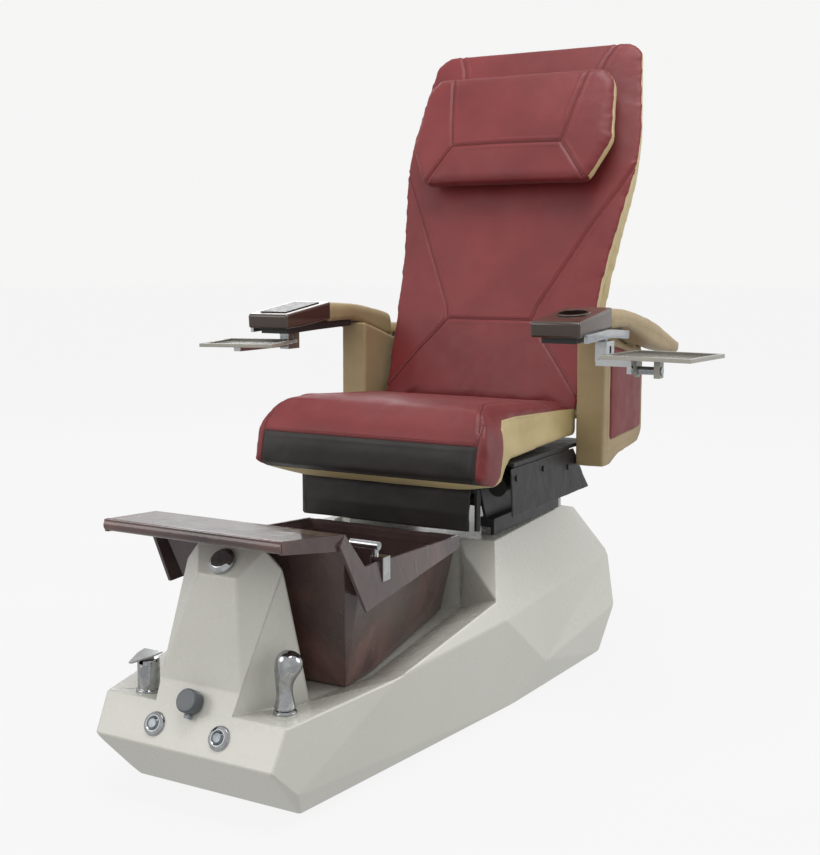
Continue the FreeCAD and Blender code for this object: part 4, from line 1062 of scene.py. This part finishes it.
def apron_piece():
    """Padded vinyl apron that hangs from the seat's front bars."""
    mesh = remeshed(cad_mesh("front_apron"), 0.0028)
    relax(mesh, 3)
    wrinkle(mesh, 0.0016, 9, 4.0)
    mesh.shade_smooth()
    soft = new_piece("front_apron_soft", mesh, like="front_apron")
    tree = tree_of(mesh)
    rows = [[Vector((x, -0.12, z)) for z in (0.370, 0.425)] for x in (-0.189, 0.189)]
    rows.append([Vector((x, -0.12, 0.372)) for x in (-0.189, 0.189)])
    stitches("apron_stitches", tree, rows, Vector((0, 1, 0)), "seat", THREAD_BLACK)


def skirts():
    """Black side skirts, slightly waved like the covered sheet they are."""
    mesh = remeshed(cad_mesh("side_skirts"), 0.0022)
    relax(mesh, 1)
    wrinkle(mesh, 0.0012, 16, 7.0)
    mesh.shade_smooth()
    new_piece("side_skirts_finish", mesh, like="side_skirts")


def fittings():
    """Small hard parts: the CAD shape with fine rounded edges."""
    for node in ("air_button_left", "air_button_right"):
        refined(node, 0.0005, material=BUTTON_CHROME)
    for node in ("faucet_body", "faucet_cap", "faucet_lever", "sprayer_socket", "button_bezels",
                 "control_knob", "drain_knob", "basin_drain", "drain_stopper", "jet_cover", "basin_light",
                 "water_spout", "cup_holder", "keypad"):
        refined(node, 0.0005)
    for node in ("slide_rails", "slide_runners", "seat_frame", "arm_brackets", "skirt_screws",
                 "pad_support_left", "pad_support_right", "power_inlet"):
        refined(node, 0.0008)
    for node in ("tray_rail_left", "tray_rail_right", "tray_bracket_left", "tray_bracket_right",
                 "tray_left", "tray_right"):
        refined(node, 0.0011, 3)


base()
foot_basin()
fittings()
skirts()
sprayer_piece()
apron_piece()
seat()
back()
cover()
pillow()
for side, label in ((1, "left"), (-1, "right")):
    arch(side, label)
    post(side, label)
    arm_pad(label)


# ---------------------------------------------------------------- studio floor and backdrop

def grey(value):
    return (value, value, value, 1)


def studio_piece(name, bm, mottle, tones, glow_colour, glow):
    """A glowing piece of the studio: the camera sees it, but it neither lights nor shades the object."""
    mesh = bpy.data.meshes.new(name)
    bm.to_mesh(mesh)
    bm.free()
    paint_graph = Graph(f"{name}_paint")
    dark, light = tones
    paint_graph.link(paint_graph.ramp(paint_graph.noise(mottle, 2), [(0.3, grey(dark)), (0.7, grey(light))]),
                     "Base Color")
    paint_graph.link(paint_graph.scaled(paint_graph.noise(30, 2), 0.7, 0.8), "Roughness")
    paint_graph.shader.inputs["Emission Color"].default_value = glow_colour
    paint_graph.shader.inputs["Emission Strength"].default_value = glow
    paint_graph.set(specular=0.0)
    mesh.materials.append(paint_graph.material)
    piece = bpy.data.objects.new(name, mesh)
    scene.collection.objects.link(piece)
    piece.visible_diffuse = False
    piece.visible_glossy = False
    piece.visible_shadow = False
    return piece


FLOOR_RADIUS = 40
BACKDROP_RADIUS = 38

floor_form = bmesh.new()
bmesh.ops.create_circle(floor_form, cap_ends=True, radius=FLOOR_RADIUS, segments=64,
                        matrix=Matrix.Translation((0, 0, -0.0006)))
studio_piece("floor", floor_form, 2, (0.048, 0.052), (1, 1, 1, 1), 0.875)

dome_form = bmesh.new()
bmesh.ops.create_uvsphere(dome_form, u_segments=64, v_segments=32, radius=BACKDROP_RADIUS)
dome = studio_piece("backdrop", dome_form, 0.1, (0.0, 0.004), (0.93, 0.93, 0.925, 1), 0.985)
dome.visible_transmission = False
